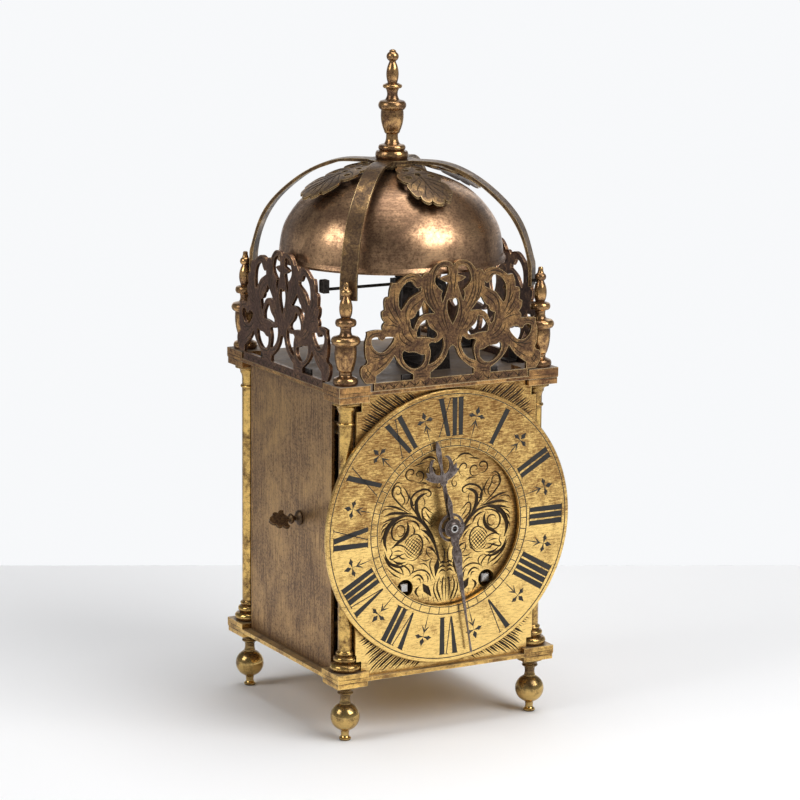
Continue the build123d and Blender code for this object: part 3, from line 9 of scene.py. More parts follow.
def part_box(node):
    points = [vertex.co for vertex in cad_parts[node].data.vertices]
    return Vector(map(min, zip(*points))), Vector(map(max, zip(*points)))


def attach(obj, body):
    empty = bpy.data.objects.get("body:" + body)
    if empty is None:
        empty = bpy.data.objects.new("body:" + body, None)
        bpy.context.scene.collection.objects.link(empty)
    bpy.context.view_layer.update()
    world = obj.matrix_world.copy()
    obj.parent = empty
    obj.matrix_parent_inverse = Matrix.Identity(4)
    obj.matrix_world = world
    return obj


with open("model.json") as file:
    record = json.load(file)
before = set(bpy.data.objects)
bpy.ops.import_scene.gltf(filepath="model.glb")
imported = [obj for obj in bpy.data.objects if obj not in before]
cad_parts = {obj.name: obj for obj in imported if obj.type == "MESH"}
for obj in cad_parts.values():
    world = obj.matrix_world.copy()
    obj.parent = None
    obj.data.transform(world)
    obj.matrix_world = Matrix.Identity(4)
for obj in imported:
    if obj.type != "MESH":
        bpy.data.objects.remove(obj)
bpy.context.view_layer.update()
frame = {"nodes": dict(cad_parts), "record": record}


# Where it stands: a white table whose back edge shows just behind the clock, in front of a white
# backdrop, with a soft light at the right, a weaker one at the left and the widest one above.
def plain(name, size, place, turn=(0, 0, 0)):
    """A flat sheet that belongs to the studio and not to the clock."""
    form = bmesh.new()
    bmesh.ops.create_grid(form, x_segments=1, y_segments=1, size=size / 2)
    mesh = bpy.data.meshes.new(name)
    form.to_mesh(mesh)
    form.free()
    sheet = bpy.data.objects.new(name, mesh)
    sheet.location = place
    sheet.rotation_euler = [math.radians(angle) for angle in turn]
    bpy.context.scene.collection.objects.link(sheet)
    return sheet


def add(tree, kind, inputs=None, **settings):
    """A node of that kind; an input is a value or another node's socket."""
    made = tree.nodes.new(kind)
    for key, value in settings.items():
        setattr(made, key, value)
    for key, value in (inputs or {}).items():
        if isinstance(value, bpy.types.NodeSocket):
            tree.links.new(value, made.inputs[key])
        else:
            made.inputs[key].default_value = value
    return made


def new_material(name):
    """An empty material and its node tree."""
    material = bpy.data.materials.new(name)
    material.use_nodes = True
    material.node_tree.nodes.clear()
    return material, material.node_tree


def finish_material(tree, shader):
    """The shader becomes the material's surface."""
    out = add(tree, "ShaderNodeOutputMaterial")
    tree.links.new(shader, out.inputs["Surface"])


def maths(tree, operation, *values):
    """The result of a calculation with values or other nodes' sockets."""
    return add(tree, "ShaderNodeMath", dict(enumerate(values)), operation=operation).outputs[0]


FLOOR_COLOUR = (0.90, 0.90, 0.905, 1)
BACKDROP_COLOUR = (0.935, 0.945, 0.96, 1)
floor_paint, tree = new_material("pale_floor")
finish_material(tree, add(tree, "ShaderNodeBsdfDiffuse", {"Color": FLOOR_COLOUR}).outputs[0])
backdrop_paint, tree = new_material("white_backdrop")
path = add(tree, "ShaderNodeLightPath").outputs
seen = maths(tree, "MAXIMUM", path["Is Camera Ray"], path["Is Glossy Ray"])
seen = maths(tree, "MAXIMUM", seen, path["Is Transmission Ray"])
matt = add(tree, "ShaderNodeBsdfDiffuse", {"Color": BACKDROP_COLOUR})
glow = add(tree, "ShaderNodeEmission", {"Color": BACKDROP_COLOUR, "Strength": 1.0})
both = add(tree, "ShaderNodeMixShader", {0: seen, 1: matt.outputs[0], 2: glow.outputs[0]})
finish_material(tree, both.outputs[0])

AZIMUTH, ELEVATION, ROLL = map(math.radians, (-28.863, 10.894, 0.456))
DISTANCE, TARGET = 1.8258, Vector((0, 0, 0.200))
FOCAL_PIXELS, SHIFT_PIXELS, FRAME_PIXELS = 3089.6, (-9.85, -28.75), 800
back = Vector((math.sin(AZIMUTH) * math.cos(ELEVATION), -math.cos(AZIMUTH) * math.cos(ELEVATION),
               math.sin(ELEVATION)))
aside = Vector((math.cos(AZIMUTH), math.sin(AZIMUTH), 0))
upward = back.cross(aside)
lens = bpy.data.cameras.new("camera")
lens.sensor_width = 36.0
lens.lens = FOCAL_PIXELS / FRAME_PIXELS * lens.sensor_width
lens.shift_x = -SHIFT_PIXELS[0] / FRAME_PIXELS
lens.shift_y = SHIFT_PIXELS[1] / FRAME_PIXELS
camera = bpy.data.objects.new("camera", lens)
camera.location = TARGET + DISTANCE * back
camera.rotation_mode = "QUATERNION"
camera.rotation_quaternion = (-back).to_track_quat("-Z", "Y")
camera.rotation_quaternion = camera.rotation_quaternion @ Matrix.Rotation(ROLL, 3, "Z").to_quaternion()
bpy.context.scene.collection.objects.link(camera)
bpy.context.scene.camera = camera
bpy.context.scene.view_settings.view_transform = "Standard"

TABLE_SIZE, TABLE_TURN, TABLE_EDGE = 6.0, -27.0, Vector((0.160, 0.274, -0.0002))
inward = Vector((math.sin(math.radians(TABLE_TURN)), -math.cos(math.radians(TABLE_TURN)), 0))
BACKDROP_SIZE, BACKDROP_PLACE = 3.4, (1.5, 2.7, 0.5)
floor = plain("floor", TABLE_SIZE, TABLE_EDGE + TABLE_SIZE / 2 * inward, (0, 0, TABLE_TURN))
floor.data.materials.append(floor_paint)
backdrop = plain("backdrop", BACKDROP_SIZE, BACKDROP_PLACE, (90, 0, TABLE_TURN))
backdrop.data.materials.append(backdrop_paint)

# The room is bright round the horizon and dimmer above and below, so that the metal shows both
ROOM_COLOUR = (0.93, 0.96, 1.0, 1)
LEVEL_STRENGTH, STEEP_STRENGTH = 0.42, 0.14
LEVEL_SLOPE, STEEP_SLOPE = 0.05, 0.4
world = bpy.data.worlds.new("room")
world.use_nodes = True
tree = world.node_tree
ways = add(tree, "ShaderNodeSeparateXYZ", {0: add(tree, "ShaderNodeTexCoord").outputs["Object"]}).outputs
strength = add(tree, "ShaderNodeMapRange", {
    "Value": maths(tree, "ABSOLUTE", ways["Z"]), "From Min": LEVEL_SLOPE, "From Max": STEEP_SLOPE,
    "To Min": LEVEL_STRENGTH, "To Max": STEEP_STRENGTH}).outputs[0]
room = tree.nodes["Background"]
room.inputs["Color"].default_value = ROOM_COLOUR
tree.links.new(strength, room.inputs["Strength"])
bpy.context.scene.world = world

# Each light's way from the clock is given as shares to the camera's right, upwards and towards it
for name, way, distance, size, power in (
    ("right_light", (0.64, 0.53, 0.56), 1.7, 1.1, 19),
    ("left_light", (-0.73, 0.45, 0.51), 1.6, 0.8, 8),
    ("top_light", (0.1, 0.95, 0.1), 2.0, 1.4, 23),
):
    lamp = bpy.data.lights.new(name, "AREA")
    lamp.size = size
    lamp.energy = power
    bulb = bpy.data.objects.new(name, lamp)
    away = (way[0] * aside + way[1] * upward + way[2] * back).normalized()
    bulb.location = TARGET + distance * away
    bulb.rotation_euler = (-away).to_track_quat("-Z", "Y").to_euler()
    bpy.context.scene.collection.objects.link(bulb)


# Base plate and top plate: cast brass squares with a thicker, grooved block at each corner. Age has
# turned the flats brown, dust lies on them, and handling keeps the edges bright.
def group(name, inputs, outputs):
    """An empty node group with these named inputs, (name, default), and outputs, (name, kind)."""
    made = bpy.data.node_groups.new(name, "ShaderNodeTree")
    for label, value in inputs:
        socket = made.interface.new_socket(label, in_out="INPUT", socket_type="NodeSocketFloat")
        socket.default_value = value
    for label, kind in outputs:
        made.interface.new_socket(label, in_out="OUTPUT", socket_type=kind)
    return made, made.nodes.new("NodeGroupInput"), made.nodes.new("NodeGroupOutput")


def spread(tree, value, low, high, to_low=0.0, to_high=1.0):
    """The value's range low to high drawn out to another range, with soft ends."""
    return add(tree, "ShaderNodeMapRange", {
        "Value": value, "From Min": low, "From Max": high, "To Min": to_low, "To Max": to_high,
    }, interpolation_type="SMOOTHSTEP").outputs[0]


def blend_colour(tree, share, below, above):
    """The colour below with a share of the colour above laid over it."""
    made = tree.nodes.new("ShaderNodeMix")
    made.data_type = "RGBA"
    for index, value in ((0, share), (6, below), (7, above)):
        if isinstance(value, bpy.types.NodeSocket):
            tree.links.new(value, made.inputs[index])
        else:
            made.inputs[index].default_value = value if index == 0 else (*value, 1)
    return made.outputs[2]


# Tarnish: broad brown clouds, small blotches and fine specks, more of it in the hollows, whose reach
# is in millimetres
MM = 0.001
tarnish, given, taken = group("tarnish", [("Cloud", 45.0), ("Amount", 0.5), ("Hollows", 0.6), ("Reach", 4.0)],
                              [("Mask", "NodeSocketFloat"), ("Specks", "NodeSocketFloat")])
place = add(tarnish, "ShaderNodeTexCoord").outputs["Object"]
clouds = add(tarnish, "ShaderNodeTexNoise", {
    "Vector": place, "Scale": given.outputs["Cloud"], "Detail": 7.0, "Roughness": 0.66,
    "Distortion": 0.4}).outputs["Fac"]
blotches = add(tarnish, "ShaderNodeTexNoise", {
    "Vector": place, "Scale": 420.0, "Detail": 4.0, "Roughness": 0.7}).outputs["Fac"]
specks = add(tarnish, "ShaderNodeTexNoise", {
    "Vector": place, "Scale": 1500.0, "Detail": 2.0}).outputs["Fac"]
reach = maths(tarnish, "MULTIPLY", given.outputs["Reach"], MM)
open_air = add(tarnish, "ShaderNodeAmbientOcclusion", {"Distance": reach}, samples=6).outputs["AO"]
hollow = maths(tarnish, "MULTIPLY", maths(tarnish, "SUBTRACT", 1.0, open_air), given.outputs["Hollows"])
browned = maths(tarnish, "MULTIPLY_ADD", clouds, 1.4, maths(tarnish, "MULTIPLY", blotches, 0.5))
browned = maths(tarnish, "ADD", maths(tarnish, "MULTIPLY_ADD", specks, 0.25, browned), hollow)
browned = maths(tarnish, "ADD", browned, maths(tarnish, "SUBTRACT", given.outputs["Amount"], 0.5))
tarnish.links.new(spread(tarnish, browned, low=0.86, high=1.34), taken.inputs["Mask"])
pits = add(tarnish, "ShaderNodeTexNoise", {
    "Vector": place, "Scale": 700.0, "Detail": 3.0, "Roughness": 0.75}).outputs["Fac"]
pits = maths(tarnish, "MULTIPLY_ADD", spread(tarnish, browned, low=0.8, high=1.4), 0.16, pits)
tarnish.links.new(spread(tarnish, pits, low=0.60, high=0.74), taken.inputs["Specks"])

# Edge wear: where a rounded edge turns away from the face, handling has rubbed it bright. The line is
# a narrow band further in, where a graver's outline runs
edge_wear, given, taken = group("edge_wear", [("Width", 0.6)],
                                [("Mask", "NodeSocketFloat"), ("Line", "NodeSocketFloat")])
width = maths(edge_wear, "MULTIPLY", given.outputs["Width"], MM)
rounded = add(edge_wear, "ShaderNodeBevel", {"Radius": width}, samples=6).outputs[0]
flat = add(edge_wear, "ShaderNodeNewGeometry").outputs["Normal"]
agree = add(edge_wear, "ShaderNodeVectorMath", {0: rounded, 1: flat}, operation="DOT_PRODUCT")
agree = agree.outputs["Value"]
edge_wear.links.new(spread(edge_wear, agree, low=0.995, high=0.90), taken.inputs["Mask"])
band = maths(edge_wear, "MULTIPLY", spread(edge_wear, agree, low=0.86, high=0.92),
             spread(edge_wear, agree, low=0.995, high=0.965))
edge_wear.links.new(band, taken.inputs["Line"])

# Grain: fine lines left by a file, a buff or a scraper, drawn out along one way
grain, given, taken = group("grain", [("Across X", 900.0), ("Across Y", 900.0), ("Across Z", 900.0)],
                            [("Height", "NodeSocketFloat")])
place = add(grain, "ShaderNodeTexCoord").outputs["Object"]
ways = add(grain, "ShaderNodeCombineXYZ", {axis: given.outputs[axis] for axis in range(3)}).outputs[0]
drawn = add(grain, "ShaderNodeVectorMath", {0: place, 1: ways}, operation="MULTIPLY").outputs["Vector"]
height = add(grain, "ShaderNodeTexNoise", {
    "Vector": drawn, "Scale": 1.0, "Detail": 3.0, "Roughness": 0.6}).outputs["Fac"]
grain.links.new(height, taken.inputs["Height"])


def use(tree, which, **values):
    """One of the shared groups placed in a material, with its own values."""
    made = add(tree, "ShaderNodeGroup", node_tree=which)
    for key, value in values.items():
        made.inputs[key.replace("_", " ")].default_value = value
    return made


TOP_SHADE_MIDDLE, RELIEF_DEPTH = 0.12, 0.0002
PIT_SHADE, CUT_SHADE = 0.35, 0.85
DUST_COLOUR, DUST_ROUGHNESS = (0.27, 0.225, 0.185), 0.75


def aged_metal(name, clean, brown, rough=(0.24, 0.5), cloud=45.0, amount=0.5, hollows=0.6, reach=4.0,
               wear=0.6, lines=(900.0, 900.0, 900.0), relief=0.12, dullness=0.35, worn=None, streak=0.25,
               outline=0.0, painted_top_shade=0.0, dust=0.0, pitted=0.5, metal=True):
    """Metal that is clean in places and brown in others, with bright edges and a fine grain.

    rough is how rough the clean and the brown parts are. cloud, amount, hollows and reach go to the
    tarnish, wear is the width of the bright edges and worn their colour, and lines is how fine the
    grain is along X, Y and Z. dullness is how much of its shine the brown takes, streak how much the
    grain shows and pitted how much the pits do. An outline is a dark line that an engraver ran along
    inside the edges. painted_top_shade, the upward slope, is painted shade: how much browner the metal
    is painted in each metre upwards, standing in for the darker reflections that upper parts show;
    dust greys the faces that look up. What isn't metal keeps the colours without the shine."""
    material, tree = new_material(name)
    age = use(tree, tarnish, Cloud=cloud, Amount=amount, Hollows=hollows, Reach=reach)
    # Painted shade: the brown is made to grow upwards, standing in for the darker reflections of upper parts,
    # not for tarnish
    if painted_top_shade:
        place = add(tree, "ShaderNodeTexCoord").outputs["Object"]
        height = add(tree, "ShaderNodeSeparateXYZ", {0: place}).outputs["Z"]
        top_shaded_amount = maths(tree, "MULTIPLY_ADD", maths(tree, "SUBTRACT", height, TOP_SHADE_MIDDLE), painted_top_shade, amount)
        tree.links.new(top_shaded_amount, age.inputs["Amount"])
    scraped = use(tree, grain, Across_X=lines[0], Across_Y=lines[1], Across_Z=lines[2]).outputs["Height"]
    edge = use(tree, edge_wear, Width=wear).outputs["Mask"]
    thinned = spread(tree, scraped, low=0.3, high=0.7, to_low=1 - streak)
    stain = maths(tree, "MULTIPLY", age.outputs["Mask"], thinned)
    stain = maths(tree, "MULTIPLY", stain, maths(tree, "MULTIPLY_ADD", edge, -0.75, 1.0))
    dark = tuple(PIT_SHADE * part for part in brown)
    colour = blend_colour(tree, stain, clean, brown)
    colour = blend_colour(tree, maths(tree, "MULTIPLY", age.outputs["Specks"], pitted), colour, dark)
    scratched = spread(tree, scraped, low=0.48, high=0.66, to_high=0.6 * streak)
    colour = blend_colour(tree, scratched, colour, dark)
    colour = blend_colour(tree, maths(tree, "MULTIPLY", edge, 0.7), colour, worn or clean)
    height = maths(tree, "ADD", scraped, stain)
    if outline:
        cut = use(tree, edge_wear, Width=outline).outputs["Line"]
        colour = blend_colour(tree, maths(tree, "MULTIPLY", cut, CUT_SHADE), colour, dark)
        height = maths(tree, "MULTIPLY_ADD", cut, -2.0, height)
    metallic = maths(tree, "MULTIPLY_ADD", stain, -dullness, 1.0)
    smooth = maths(tree, "MULTIPLY_ADD", stain, rough[1] - rough[0], rough[0])
    if dust:
        facing = add(tree, "ShaderNodeSeparateXYZ", {0: add(tree, "ShaderNodeNewGeometry").outputs["Normal"]})
        settled = spread(tree, facing.outputs["Z"], low=0.8, high=1.0, to_high=dust)
        brushed = spread(tree, age.outputs["Specks"], low=0.0, high=1.0, to_low=1.0, to_high=0.6)
        settled = maths(tree, "MULTIPLY", settled, brushed)
        colour = blend_colour(tree, settled, colour, DUST_COLOUR)
        metallic = maths(tree, "MULTIPLY", metallic, maths(tree, "SUBTRACT", 1.0, settled))
        smooth = maths(tree, "MAXIMUM", smooth, maths(tree, "MULTIPLY", settled, DUST_ROUGHNESS))
    smooth = maths(tree, "ADD", smooth, spread(tree, scraped, low=0.3, high=0.7, to_low=-0.05, to_high=0.05))
    bump = add(tree, "ShaderNodeBump", {"Height": height, "Distance": RELIEF_DEPTH, "Strength": relief})
    shader = add(tree, "ShaderNodeBsdfPrincipled", {
        "Base Color": colour, "Roughness": smooth, "Normal": bump.outputs[0]})
    if metal:
        tree.links.new(metallic, shader.inputs["Metallic"])
    finish_material(tree, shader.outputs[0])
    return material


def dress(material, *names):
    """The CAD nodes of these names take this material."""
    for node in names:
        mesh = frame["nodes"][node].data
        mesh.materials.clear()
        mesh.materials.append(material)


base_brass = aged_metal("base_brass", (0.90, 0.58, 0.18), (0.20, 0.090, 0.032), rough=(0.24, 0.44),
                        amount=0.50, cloud=75.0, lines=(90.0, 90.0, 900.0), hollows=2.2, reach=1.6,
                        streak=0.3, dust=0.5, wear=0.4, worn=(0.95, 0.74, 0.34))
coppery_plate = aged_metal("coppery_plate", (0.72, 0.40, 0.14), (0.13, 0.056, 0.030), rough=(0.26, 0.46),
                           amount=0.57, cloud=75.0, lines=(90.0, 90.0, 900.0), hollows=2.2, reach=1.6,
                           streak=0.3, dust=0.8, wear=0.45, worn=(0.95, 0.76, 0.42))
dress(base_brass, "base_plate")
dress(coppery_plate, "top_plate")

# Feet, pillars and corner finials: turned from brass rod and polished, brown in the hollows between
# the mouldings. The pillars' ends go through the plates into the feet and the finials.
CORNERS = ("front_left", "front_right", "back_left", "back_right")
TURNED_LINES = (150.0, 150.0, 2500.0)
turned_brass = aged_metal("turned_brass", (0.74, 0.48, 0.15), (0.17, 0.085, 0.028), rough=(0.12, 0.26),
                          amount=0.48, cloud=110.0, hollows=2.2, reach=3.0, lines=TURNED_LINES, relief=0.05,
                          streak=0.2)
coppery_brass = aged_metal("coppery_brass", (0.70, 0.42, 0.17), (0.12, 0.054, 0.028), rough=(0.12, 0.28),
                           amount=0.56, cloud=110.0, hollows=2.2, reach=3.0, lines=TURNED_LINES, relief=0.05,
                           streak=0.2)
# The feet are painted browner towards their tops: painted shade standing in for the dark underside of the
# base plate that their tops reflect
foot_brass = aged_metal("foot_brass", (0.62, 0.42, 0.15), (0.11, 0.058, 0.024), rough=(0.12, 0.28),
                        amount=2.66, cloud=110.0, hollows=1.6, reach=3.0, lines=TURNED_LINES, relief=0.05,
                        streak=0.2, painted_top_shade=21.0)
dress(foot_brass, *(f"foot_{corner}" for corner in CORNERS))
dress(turned_brass, *(f"pillar_{corner}" for corner in CORNERS))
dress(coppery_brass, *(f"corner_finial_{corner}" for corner in CORNERS))

# Front plate: the dial's brass plate, cut by hand with a graver. Its corners are covered with long
# curved cuts and its middle with scrolling leaves, all blackened so that they show.
BLUNT_END, CUT_FLATNESS = 0.15, 0.07


def stroked(name, strokes, sides=(1, -1), taper=0.7):
    """A mesh of tapered cuts. Each is its greatest width and the points it runs through, across and up
    in millimetres, on a face that looks along -Y; a second side is its mirror image, and a lower taper
    makes blunter ends."""
    curve = bpy.data.curves.new(name, "CURVE")
    curve.dimensions = "3D"
    curve.resolution_u = 4
    curve.bevel_depth = MM
    curve.bevel_resolution = 1
    curve.use_fill_caps = True
    for side in sides:
        for width, *points in strokes:
            line = curve.splines.new("BEZIER")
            line.bezier_points.add(len(points) - 1)
            for number, (knot, point) in enumerate(zip(line.bezier_points, points)):
                knot.co = Vector((side * point[0], point[2] if len(point) > 2 else 0, point[1])) * MM
                knot.handle_left_type = knot.handle_right_type = "AUTO"
                along = number / (len(points) - 1)
                knot.radius = width / 2 * max(BLUNT_END, math.sin(math.pi * along) ** taper)
    holder = bpy.data.objects.new(name, curve)
    mesh = bpy.data.meshes.new_from_object(holder)
    bpy.data.objects.remove(holder)
    return mesh


def widened(share, strokes):
    """The same cuts with their widths multiplied."""
    return [(share * width, *points) for width, *points in strokes]


def piece(mesh, material, body, place=None):
    """A finished piece from a mesh, moved to its place, that goes with a body."""
    if place is not None:
        mesh.transform(place)
    mesh.materials.clear()
    mesh.materials.append(material)
    made = bpy.data.objects.new(mesh.name, mesh)
    bpy.context.scene.collection.objects.link(made)
    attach(made, body)
    return made


def laid_on(depth, height=0.0, across=0.0, turn=0.0):
    """Lays a mesh flat on the face at that depth, its origin at a height; the turn is about Z."""
    there = Matrix.Translation((across * MM, depth * MM, height * MM))
    flat_on = there @ Matrix.Diagonal((1, CUT_FLATNESS, 1, 1))
    return Matrix.Rotation(math.radians(turn), 4, "Z") @ flat_on


def corners_of(node):
    """A CAD node's lowest and highest corners in millimetres."""
    return [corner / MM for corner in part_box(node)]


ring_low, ring_high = corners_of("chapter_ring")
CENTRE_HEIGHT, RING_FACE = (ring_low.z + ring_high.z) / 2, ring_low.y
PLATE_FACE = corners_of("front_plate")[0].y
# The dial's brass is painted browner towards the top, over its tarnish: painted shade standing in for the
# darker reflection on the dial's upper part
dial_brass = aged_metal("dial_brass", (0.945, 0.650, 0.226), (0.31, 0.138, 0.035), rough=(0.23, 0.40),
                        amount=0.50, cloud=60.0, lines=(260.0, 500.0, 1900.0), hollows=1.1, reach=6.0,
                        streak=0.6, dullness=0.3, painted_top_shade=4.0, pitted=0.4)
dress(dial_brass, "front_plate", "chapter_ring")
ink = aged_metal("blackened_cuts", (0.045, 0.030, 0.017), (0.018, 0.012, 0.008), rough=(0.45, 0.65),
                 dullness=0.95)

# Half of the middle's leaves and scrolls: widths, then points across and up from the hands' axis
LEAVES = (
    (2.4, (39.0, -11), (40.6, -5), (39.4, 0.5), (35.5, 5.5), (30, 8.2), (25, 8.6)),
    (1.6, (30, 8.4), (24, 8), (19, 5.8), (14.8, 2.2), (11, -3), (8, -9), (6, -16), (4.4, -24)),
    (1.0, (25.5, 6.5), (30.5, 6), (35, 3), (36, -1), (34, -5), (30, -5.5)),
    (0.7, (33.5, 0), (32, 2.6), (29.5, 3), (27.5, 1), (28, -2), (30.5, -3.3), (32.4, -1.6)),
    (1.9, (26, 5), (25.2, 1), (27, -3.5), (31.5, -6.6), (36, -10)),
    (1.0, (25.5, 5.4), (21.5, 4.6), (18.5, 2), (17.5, -1)),
    (0.9, (22.5, 2.5), (21, -1.5), (23.5, -4.6)),
    (0.8, (27.5, -8.5), (24, -4), (19.5, -3.2), (16.2, -6.5), (15.8, -11), (17.6, -15.5), (21, -18.2),
     (25, -18)),
    (0.8, (36.2, -9.2), (32, -8.2), (28, -9.4), (25, -12.5)),
    (0.8, (36.8, -9.4), (35.6, -12.5), (36.8, -15.8), (33, -15.4), (29.5, -14.2), (26.6, -13.6)),
    (0.7, (35, -12), (31.5, -11.6), (28.5, -12.6)),
    (1.3, (35.5, -16.6), (31, -19.2), (26.5, -18.8)),
    (0.9, (34, -14.2), (31.5, -14.6), (29, -16.5), (25.5, -17)),
    (1.3, (40.6, -11), (38.8, -16), (34.5, -20), (29.5, -21.2), (25, -20)),
    (1.0, (41.5, -12.5), (38, -19), (32.5, -23.6), (27.5, -26.2)),
    (0.8, (35.8, -18.4), (31.8, -20.4), (28.8, -23.6), (28.2, -27)),
    (0.8, (31, -19.4), (27, -21.4), (24, -24.6), (23.6, -27.6)),
    (0.7, (26, -19.8), (22.4, -21.4), (21.6, -24), (23, -26)),
    (0.8, (39, -21), (34.5, -25.4), (30, -28)),
    (1.5, (22, 9), (29, 10.2), (36, 10.8), (41.5, 9.4)),
    (1.2, (24, 8.6), (31, 8), (37, 7.4), (42.6, 5.6)),
    (1.1, (26, 10.4), (31, 13), (36, 15), (41, 15.6)),
    (0.6, (34, 12.6), (38, 13.8), (41.8, 13), (43, 11)),
    (0.8, (37, 6.4), (41, 4.4), (43, 1.8)),
    (0.8, (38.4, 4), (41.6, 1.4), (43, -2)),
    (0.7, (39.8, 0), (42, -3), (43.2, -7)),
    (0.9, (23, 9.4), (28, 13), (33, 18), (35.8, 22.4), (35, 26), (32.2, 28.6), (29.4, 27.4)),
    (0.6, (34.2, 20.6), (35, 24), (33.2, 26.4), (30.6, 25.2), (30.6, 22.2), (32.6, 21.6), (33.2, 23.4)),
    (0.8, (30, 13.6), (27.6, 17.5), (29.6, 21.5), (30.4, 24)),
    (0.8, (27, 14.6), (25, 18.5), (26.4, 22.5), (29, 26)),
    (0.8, (24.4, 11), (22.4, 15), (24.2, 19), (24, 23)),
    (1.0, (12.5, 1), (17, 5.5), (21, 10.5), (23.6, 15.5), (22.6, 19.4), (18, 22.3), (13, 22.4), (10.4, 20),
     (11.8, 18.2), (14, 19.2)),
    (1.6, (17.4, 7), (19.6, 12), (19.4, 17), (16, 19.6), (12.8, 20.4)),
    (2.0, (18.8, 18.6), (20, 13.5), (18.6, 8), (15.6, 4)),
    (0.8, (22.8, 17.4), (21.8, 14), (20.8, 17.8)),
    (0.6, (15.8, 18.4), (14.4, 15.4), (15, 12)),
    (0.8, (8.6, 0), (12.6, 3.6), (15.8, 7.4), (15, 12), (11.4, 9.6), (8.8, 7.6)),
    (0.7, (14, 10), (12, 6.6), (9.6, 3.8)),
    (0.6, (17, 8.8), (15.2, 4.6), (11.6, 0)),
    (1.8, (17, -0.6), (12.5, -3.2), (9, -7.6), (7.2, -12.6)),
    (0.8, (15.6, -3.8), (12.6, -6.6), (10.6, -10)),
    (0.9, (1.4, -30), (2.4, -36), (1.6, -44.6)),
    (1.0, (4.2, -30), (5.8, -36), (4.2, -41.5), (2.6, -45)),
    (0.8, (6.8, -32), (8, -37), (6.4, -42), (4.8, -45)),
    (0.6, (4.4, -30), (2.8, -33.5), (1.8, -31), (0.6, -33)),
    (3.4, (15.2, -33.0), (13, -36.4), (9.6, -41)),
    (1.4, (17.5, -34), (20, -37), (18, -40.5)),
    (1.6, (12, -39.5), (11, -44)),
    (1.6, (8.4, -41.5), (7.6, -45)),
    (1.5, (15.5, -39), (14.6, -43)),
    (1.3, (19, -38.6), (18, -41.6)),
    (1.2, (22.4, -37.6), (21, -40.2)),
    (0.8, (25, -27.6), (20.5, -25), (15, -25), (11, -28), (9.6, -32.6)),
    (1.0, (22.5, -29), (18.5, -27.4), (15.6, -29.6), (14.6, -31.8)),
    (0.8, (19.5, -29.8), (17.4, -30), (16.8, -32.6)),
    (0.8, (13.4, -27), (11.8, -30), (12.2, -32.8)),
    (2.6, (5.6, -19.5), (6.2, -24), (7, -29.5)),
    (0.8, (8.6, -17.6), (10.6, -21), (9.6, -26.5), (7.2, -31.5)),
    (1.0, (0, -22.5), (2.2, -21.4), (4.6, -22.8)),
    (1.1, (0, -25), (2.4, -23.8), (5, -25.4)),
    (1.0, (0, -27.5), (2.6, -26.2), (4.8, -28)),
    (0.7, (5.6, -11.4), (5, -18), (2.4, -24)),
    (0.7, (3, -11), (1, -16), (1.6, -21.6), (2.6, -24.6)),
    (1.2, (12.8, -11.4), (9.4, -12.8), (6.4, -17)),
    (0.7, (12.5, -11.2), (13, -14.5), (10, -18.6)),
    (0.7, (17.2, -17.8), (13.4, -19.6), (9.6, -18.4)),
    (0.7, (18, -21), (14, -21.4), (11.2, -24.4)),
    (0.6, (17.6, -19.8), (15.6, -22.8)),
    (0.6, (14.4, -16.8), (12, -15), (9.6, -16.2)),
    (0.8, (21, 28.6), (24.6, 29), (27, 31.6), (26.4, 34.2), (23.8, 35.4), (21.8, 34), (23, 32.2), (24.4, 33)),
    (0.7, (21.5, 28), (17.6, 27.4), (15.4, 30), (16.4, 33), (19.2, 33.4), (20, 31.4), (18.6, 30.6)),
    (0.8, (12, 25), (15, 26.6), (19, 26.4)),
    (0.7, (10, 28), (8, 31), (9, 34.5), (12, 35.4), (13, 33), (11.4, 32)),
    (1.0, (6, 38), (9, 40.8), (14, 41), (18, 38.6)),
    (0.8, (14, 38.6), (19, 37.8), (22.6, 36.6)),
    (0.6, (4, 30), (3, 34), (4.6, 38), (7, 39)),
    (0.6, (5, 26), (6.6, 24.2), (5.4, 22.6), (3.6, 23.8), (4, 27), (7.4, 28.8)),
)
FRUIT, FRUIT_RADIUS, FRUIT_GAP, FRUIT_CUT = (21.3, -10.8), 6.6, 1.5, 0.5
HATCH_BOW = 0.12


def hatched(middle, radius, turn, gap, width):
    """Parallel cuts, a gap apart and slightly bowed, that fill a circle."""
    cuts = []
    way = Vector((math.cos(math.radians(turn)), math.sin(math.radians(turn))))
    side = Vector((-way.y, way.x))
    offset = gap / 2 - radius
    while offset < radius:
        half = math.sqrt(radius**2 - offset**2)
        base = Vector(middle) + offset * side
        cuts.append((width, base - half * way, base + HATCH_BOW * offset * side, base + half * way))
        offset += gap
    return cuts


FRUIT_CUTS = [cut for turn in (40, -50) for cut in hatched(FRUIT, FRUIT_RADIUS, turn, FRUIT_GAP, FRUIT_CUT)]
STEM = ((0.8, (0, -29), (0, -37), (0, -45)), (1.0, (0, 8), (-0.4, 14), (0, 20)))
BOLD = 1.45
piece(stroked("dial_leaves", widened(BOLD, (*LEAVES, *FRUIT_CUTS))), ink, "case",
      laid_on(PLATE_FACE, CENTRE_HEIGHT))
piece(stroked("dial_stem", STEM, (1,)), ink, "case", laid_on(PLATE_FACE, CENTRE_HEIGHT))

# The plate's clear half width between two heights from the hands' axis: between the pillars, between
# their bases and caps, and between the corner blocks
CLEAR_OF_PILLARS, CLEAR_OF_CAPS = (-66.5, 71.0, 57.6), (-79.0, 76.5, 53.0)
CLEAR_OF_BLOCKS = (-82.4, 81.0, 51.2)
CORNER_CUTS, FIRST_TURN, TURN_STEP = 44, 2.0, 1.12
CUT_WIDTHS, CORNER_BEND, CORNER_WAVE = (1.7, 0.8, 1.3, 0.6), 0.012, 0.05
FIRST_REACH, REACH_STEP, REACHES = 77.5, 3.6, 8


